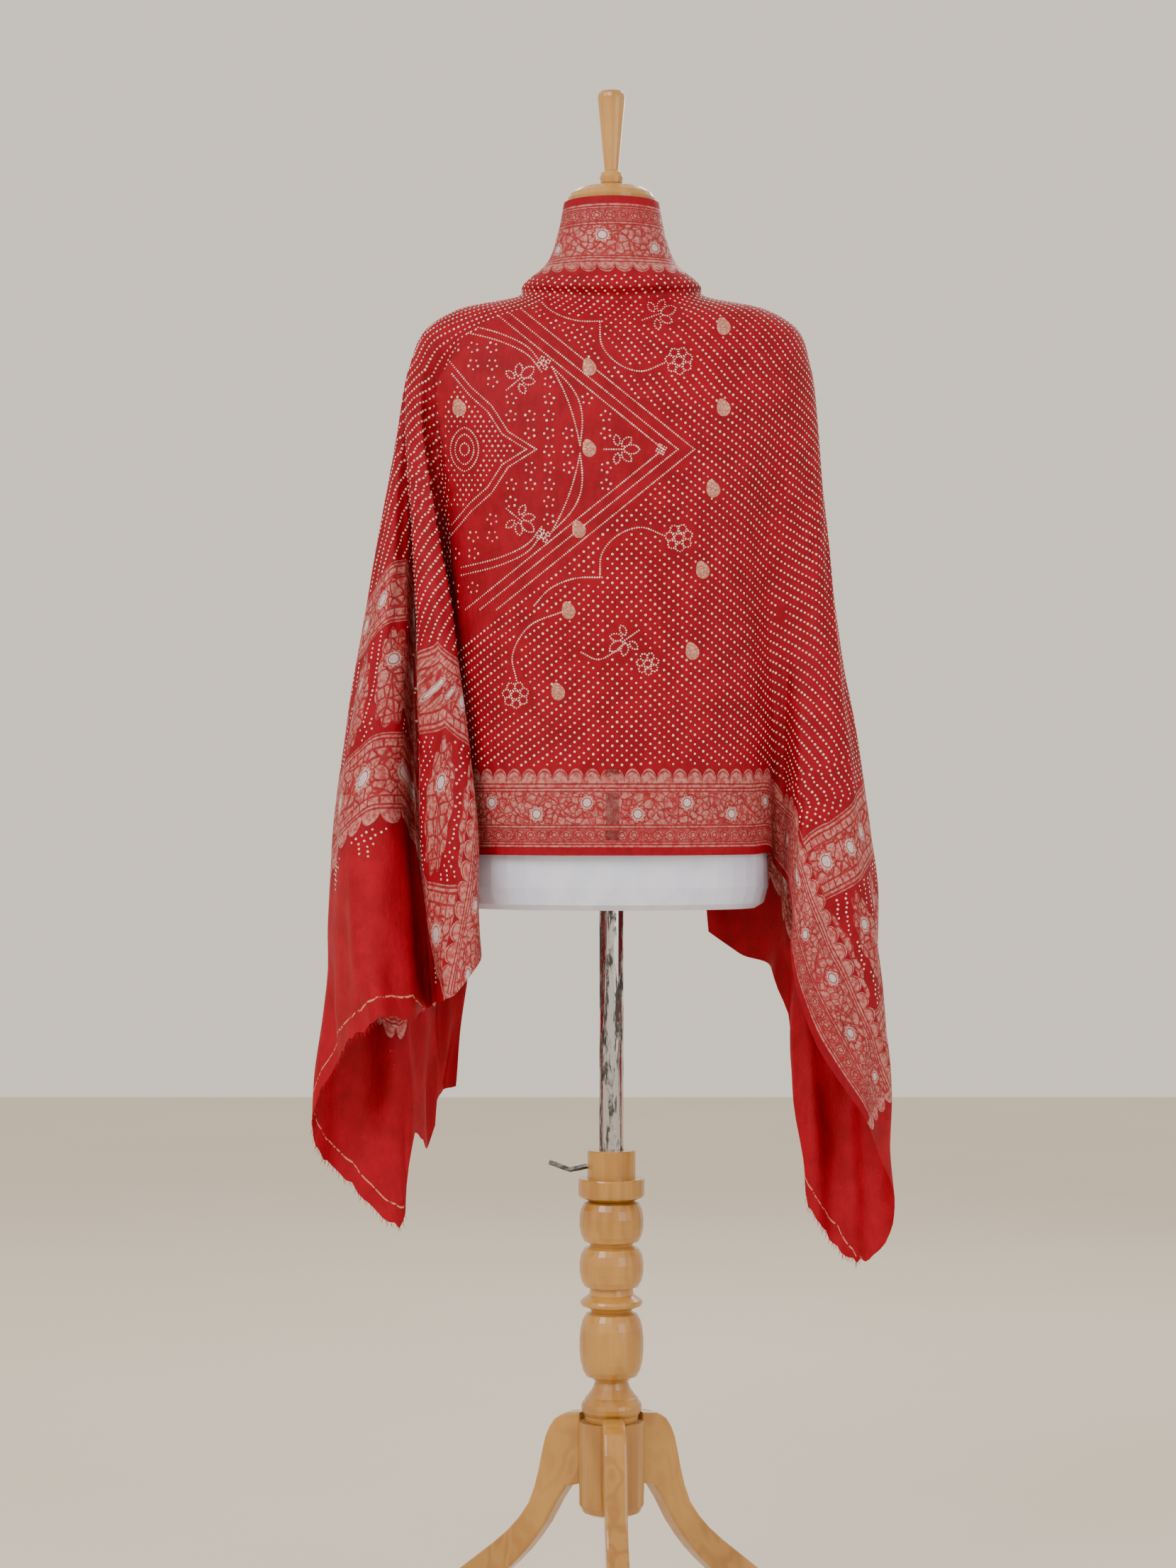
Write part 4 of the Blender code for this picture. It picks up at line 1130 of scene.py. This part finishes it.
def field_dots(drape, marks):
    """The tied dots of the field, walked row by row across the cloth at an even step."""
    points, normals = [], []
    columns = np.arange(drape.columns, dtype=float)
    for number, row in dot_rows(drape):
        good = ~np.isnan(row)
        place = drape.read(drape.points, columns, np.nan_to_num(row))
        gaps = np.linalg.norm(np.diff(place, axis=0), axis=1)
        arc = np.concatenate([[0], np.cumsum(gaps)])
        arc -= arc[drape.centre]
        first, last = arc[good][0], arc[good][-1]
        start = math.ceil((first + EDGE_CLEAR) / DOT_STEP)
        at = (np.arange(start, int(last / DOT_STEP) + 1) + 0.5 * (number % 2)) * DOT_STEP
        at = at[(at > first) & (at < last)]
        column = np.interp(at, arc, columns)
        rows_at = np.interp(column, columns[good], row[good])
        sound = np.interp(column, columns, good.astype(float)) > 0.99
        column, rows_at = column[sound], rows_at[sound]
        spots = drape.read(drape.points, column, rows_at)
        faces = drape.read(drape.normals, column, rows_at)
        to_end = drape.read(drape.to_end, column, rows_at)
        to_edge = drape.read(drape.to_edge, column, rows_at)
        from_back = drape.read(drape.from_back, column, rows_at)
        keep = (to_edge > BORDER + BAND_CLEAR) & (from_back > BORDER + BAND_CLEAR)
        keep &= (to_end > END_BAND_A[1] + BAND_CLEAR) | open_red(to_end, to_edge)
        on_panel = (column > drape.panel[0] - 4) & (column < drape.panel[1] + 14)
        for k in np.nonzero(keep)[0]:
            x, z = drawing_place(spots[k])
            if on_panel[k] and (in_rhombus(x, z, -0.0025) or near_drawing(x, z, marks, LINE_CLEAR)):
                continue
            points.append(spots[k])
            normals.append(faces[k])
    return points, normals


def cluster_dots(marks):
    """Inside the rhombus the dots stand in small rounds of five, and close together inside the star."""
    places = []
    for row, z in enumerate(np.arange(*ROUND_ROWS)):
        for x in np.arange(*ROUND_COLUMNS):
            in_star = math.hypot(x - STAR_CENTRE, (z - MIRROR_HEIGHT) * 0.80) < 0.050
            if in_star or not in_rhombus(x, z, 0.026) or near_drawing(x, z, marks, ROUND_CLEAR):
                continue
            for k in range(5):
                a = 2 * math.pi * k / 5 + row
                places.append((x + ROUND_REACH * math.cos(a), z + ROUND_REACH * math.sin(a)))
    for row, z in enumerate(np.arange(*STAR_ROWS)):
        for x in np.arange(*STAR_COLUMNS):
            x += STAR_COLUMNS[2] / 2 * (row % 2)
            aside, up = abs(x - STAR_CENTRE), abs(z - MIRROR_HEIGHT)
            in_star = aside * 0.9 + up * 0.72 < 0.050 and math.hypot(aside, up * 0.7) > 0.0150
            if in_star and not near_drawing(x, z, marks, STAR_CLEAR):
                places.append((x, z))
    return places


def scatter_tree(name):
    """Geometry Nodes: a low dome on every point, turned to the point's own normal and varied in size."""
    tree = bpy.data.node_groups.new(name, "GeometryNodeTree")
    tree.is_modifier = True
    face = tree.interface
    face.new_socket(name="Points", in_out="INPUT", socket_type="NodeSocketGeometry")
    sizes = (("Radius", "Float", 0.001), ("Height", "Float", 0.0004), ("Sides", "Int", 5))
    for label, kind, value in (*sizes, ("Finish", "Material", None)):
        socket = face.new_socket(name=label, in_out="INPUT", socket_type="NodeSocket" + kind)
        if value is not None:
            socket.default_value = value
    face.new_socket(name="Mesh", in_out="OUTPUT", socket_type="NodeSocketGeometry")
    n = Nodes(tree)
    inp, out = n.add("NodeGroupInput").outputs, n.add("NodeGroupOutput").inputs
    dome = n.add("GeometryNodeMeshCone", fill_type="NONE")
    n.join(inp["Sides"], dome.inputs["Vertices"])
    dome.inputs["Side Segments"].default_value = 1
    dome.inputs["Radius Top"].default_value = 0.0
    n.join(inp["Radius"], dome.inputs["Radius Bottom"])
    n.join(inp["Height"], dome.inputs["Depth"])
    facing = n.add("GeometryNodeInputNamedAttribute", data_type="FLOAT_VECTOR")
    facing.inputs["Name"].default_value = "facing"
    turned = n.add("FunctionNodeAlignRotationToVector", axis="Z")
    n.join(facing.outputs[0], turned.inputs["Vector"])
    size = n.add("FunctionNodeRandomValue", data_type="FLOAT")
    smallest, largest = size.inputs[2], size.inputs[3]
    smallest.default_value = 0.82
    largest.default_value = 1.18
    size.inputs["Seed"].default_value = SEED
    placed = n.add("GeometryNodeInstanceOnPoints")
    n.join(inp["Points"], placed.inputs["Points"])
    n.join(dome.outputs["Mesh"], placed.inputs["Instance"])
    n.join(turned.outputs[0], placed.inputs["Rotation"])
    n.join(size.outputs[1], placed.inputs["Scale"])
    real = n.add("GeometryNodeRealizeInstances")
    n.join(placed.outputs[0], real.inputs[0])
    finish = n.add("GeometryNodeSetMaterial")
    n.join(real.outputs[0], finish.inputs["Geometry"])
    n.join(inp["Finish"], finish.inputs["Material"])
    n.join(finish.outputs[0], out["Mesh"])
    return tree


def scatter(name, tree, points, normals, finish, lift=0.0, **sizes):
    """Runs the domes' tree over points and keeps the result as a plain mesh."""
    mesh = bpy.data.meshes.new(name + "_points")
    ways = np.asarray([tuple(v) for v in normals])
    spots = np.asarray([tuple(p) for p in points]) + AXIS + ways * lift
    mesh.from_pydata(spots.tolist(), [], [])
    facing = mesh.attributes.new("facing", "FLOAT_VECTOR", "POINT")
    facing.data.foreach_set("vector", ways.astype(np.float32).ravel())
    source = bpy.data.objects.new(name + "_source", mesh)
    bpy.context.scene.collection.objects.link(source)
    grow = source.modifiers.new("dots", "NODES")
    grow.node_group = tree
    wanted = {label.replace("_", " "): value for label, value in sizes.items()}
    wanted["Finish"] = finish
    for socket in tree.interface.items_tree:
        if socket.item_type == "SOCKET" and socket.in_out == "INPUT" and socket.name in wanted:
            grow[socket.identifier] = wanted[socket.name]
    source.update_tag()
    graph = bpy.context.evaluated_depsgraph_get()
    made = bpy.data.meshes.new_from_object(source.evaluated_get(graph))
    made.name = name
    bpy.data.objects.remove(source)
    obj = bpy.data.objects.new(name, made)
    bpy.context.scene.collection.objects.link(obj)
    return obj


def tied(name, tree, spots, finish, radius):
    """Tied dots on spots, which are given as points and normals."""
    return scatter(name, tree, *spots, finish, DOT_LIFT, Radius=radius, Height=DOT_HEIGHT, Sides=5)


def make_drops(tree, finish):
    """The small woven drops of silver thread, each laid on the cloth as a fan of faces."""
    vertices, faces = [], []
    middle, half_way, edge = DROP_HEIGHTS
    raised = [middle] + [half_way] * DROP_SIDES + [edge] * DROP_SIDES
    for cx, cz in drop_places():
        rim = []
        for k in range(DROP_SIDES):
            a = 2 * math.pi * k / DROP_SIDES
            point = 1 + 0.45 * max(math.cos(a - math.pi * 0.62), 0) ** 6
            reach = DROP_RADIUS * point
            rim.append((cx + reach * math.cos(a), cz + reach * math.sin(a) * 1.10))
        half = [((x + cx) / 2, (z + cz) / 2) for x, z in rim]
        points, normals = lay(tree, [(cx, cz), *half, *rim])
        if len(points) < len(raised):
            continue
        base = len(vertices)
        vertices += [np.array(p) + np.array(v) * up + AXIS for p, v, up in zip(points, normals, raised)]
        for k in range(DROP_SIDES):
            a, b = base + 1 + k, base + 1 + (k + 1) % DROP_SIDES
            faces.append((base, a, b))
            faces.append((a, a + DROP_SIDES, b + DROP_SIDES, b))
    return mesh_object("zari_drops", vertices, faces, finish)


def loose_threads(drape):
    """Points and directions of the loose threads along the two frayed ends."""
    points, ways = [], []
    columns = np.nonzero(drape.to_end[:, -1] < 0.02)[0]
    for start, end in ((columns[0], drape.centre), (drape.centre, columns[-1])):
        inside = [c for c in columns if start <= c <= end]
        for c in np.arange(inside[0], inside[-1], THREAD_STEP):
            at = np.array([c])
            edge = drape.read(drape.points, at, np.array([drape.rows - 1.2]))[0]
            above = drape.read(drape.points, at, np.array([drape.rows - 5.0]))[0]
            way = (edge - above) / max(np.linalg.norm(edge - above), 1e-6)
            way += 0.35 * np.array([math.sin(c * 12.9), math.cos(c * 7.1), 0.4 * math.sin(c * 3.3)])
            points.append(edge + way * 0.0022)
            ways.append(way / np.linalg.norm(way))
    return points, ways


# Stage, light and camera
def make_stage():
    """A plain pale floor under an even ambient light."""
    made, n, shader = new_material("pale_floor", Roughness=0.8)
    tone = n.noise(n.object_place(), 1.5)
    n.join(n.mix(tone, FLOOR_SHADE, FLOOR_PALE), shader.inputs["Base Color"])
    corners = [(x * FLOOR_REACH, y * FLOOR_REACH, FLOOR_HEIGHT) for x, y in ((-1, -1), (1, -1), (1, 1), (-1, 1))]
    floor = mesh_object("floor", corners, [(0, 1, 2, 3)], made)
    world = bpy.data.worlds.new("studio")
    world.use_nodes = True
    background = world.node_tree.nodes["Background"].inputs
    background["Color"].default_value = AMBIENT_COLOUR
    background["Strength"].default_value = AMBIENT_POWER
    bpy.context.scene.world = world


def make_light(name, place, target, size, power, colour):
    """A rectangular light at a place, facing its target."""
    data = bpy.data.lights.new(name, "AREA")
    data.shape = "RECTANGLE"
    data.size, data.size_y = size
    data.energy = power
    data.color = colour
    obj = bpy.data.objects.new(name, data)
    bpy.context.scene.collection.objects.link(obj)
    obj.location = place
    obj.rotation_euler = (Vector(place) - Vector(target)).to_track_quat("Z", "Y").to_euler()


def make_camera():
    """The camera, level, with the photograph's frame."""
    data = bpy.data.cameras.new("camera")
    data.sensor_fit = "VERTICAL"
    data.sensor_height = SENSOR_HEIGHT
    data.lens = SENSOR_HEIGHT * CAMERA_REACH / VIEW_HEIGHT
    obj = bpy.data.objects.new("camera", data)
    bpy.context.scene.collection.objects.link(obj)
    obj.location = (AXIS[0] + CAMERA_ASIDE, AXIS[1] - CAMERA_REACH, CAMERA_HEIGHT)
    obj.rotation_euler = (math.radians(90), 0, 0)
    bpy.context.scene.camera = obj


def finish_node(name, made):
    """Gives a solid's node its one material."""
    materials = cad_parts[name].data.materials
    materials.clear()
    materials.append(made)


def finish_solids():
    """Materials for the form, the pole, the lever and the wooden stand."""
    grain = grain_group()
    turned = beech_material(grain, "beech_turned", (0, 0, 0))
    for name in ("neck_cap", "neck_handle", "turned_post", "stand_hub"):
        finish_node(name, turned)
    for name, turn in LEG_TURNS:
        angles = (math.radians(LEG_TILT), 0, math.radians(-turn))
        finish_node(name, beech_material(grain, "beech_" + name, angles))
    finish_node("body_form", form_material())
    finish_node("chrome_pole", chrome_material())
    finish_node("clamp_lever", steel_material())


def dress_cloth():
    """The silk sheet, and the pieces that lie on it."""
    flower, leaves = flower_group(), leaf_group()
    silk = silk_material(border_group(flower, leaves), end_group(flower, leaves), crepe_group())
    undyed, zari = dot_material(), zari_material(leaves)
    drape = Drape()
    cloth = make_cloth(drape, silk)
    sight = front_sight(drape)
    line_places = []
    for path, closed in drawn_paths():
        line_places += resample(path, BEAD_STEP, closed)
    marks = np.array(line_places + around_drops())
    dome = scatter_tree("dome on each point")
    field = tied("tied_dots", dome, field_dots(drape, marks), undyed, DOT_RADIUS)
    beads = tied("tied_lines", dome, lay(sight, line_places), undyed, BEAD_RADIUS)
    rounds = tied("tied_rounds", dome, lay(sight, cluster_dots(marks)), undyed, ROUND_RADIUS)
    drops = make_drops(sight, zari)
    threads = scatter("frayed_threads", dome, *loose_threads(drape), silk, 0.0,
                      Radius=THREAD_RADIUS, Height=THREAD_LENGTH, Sides=3)
    return cloth, [field, beads, rounds, drops, threads]


def main():
    make_camera()
    make_stage()
    for light in LIGHTS:
        make_light(*light)
    finish_solids()
    cloth, on_cloth = dress_cloth()

    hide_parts("bandhani_cloth")
    for piece in [cloth, *on_cloth]:
        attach(piece, "root")
    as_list(on_cloth)


main()
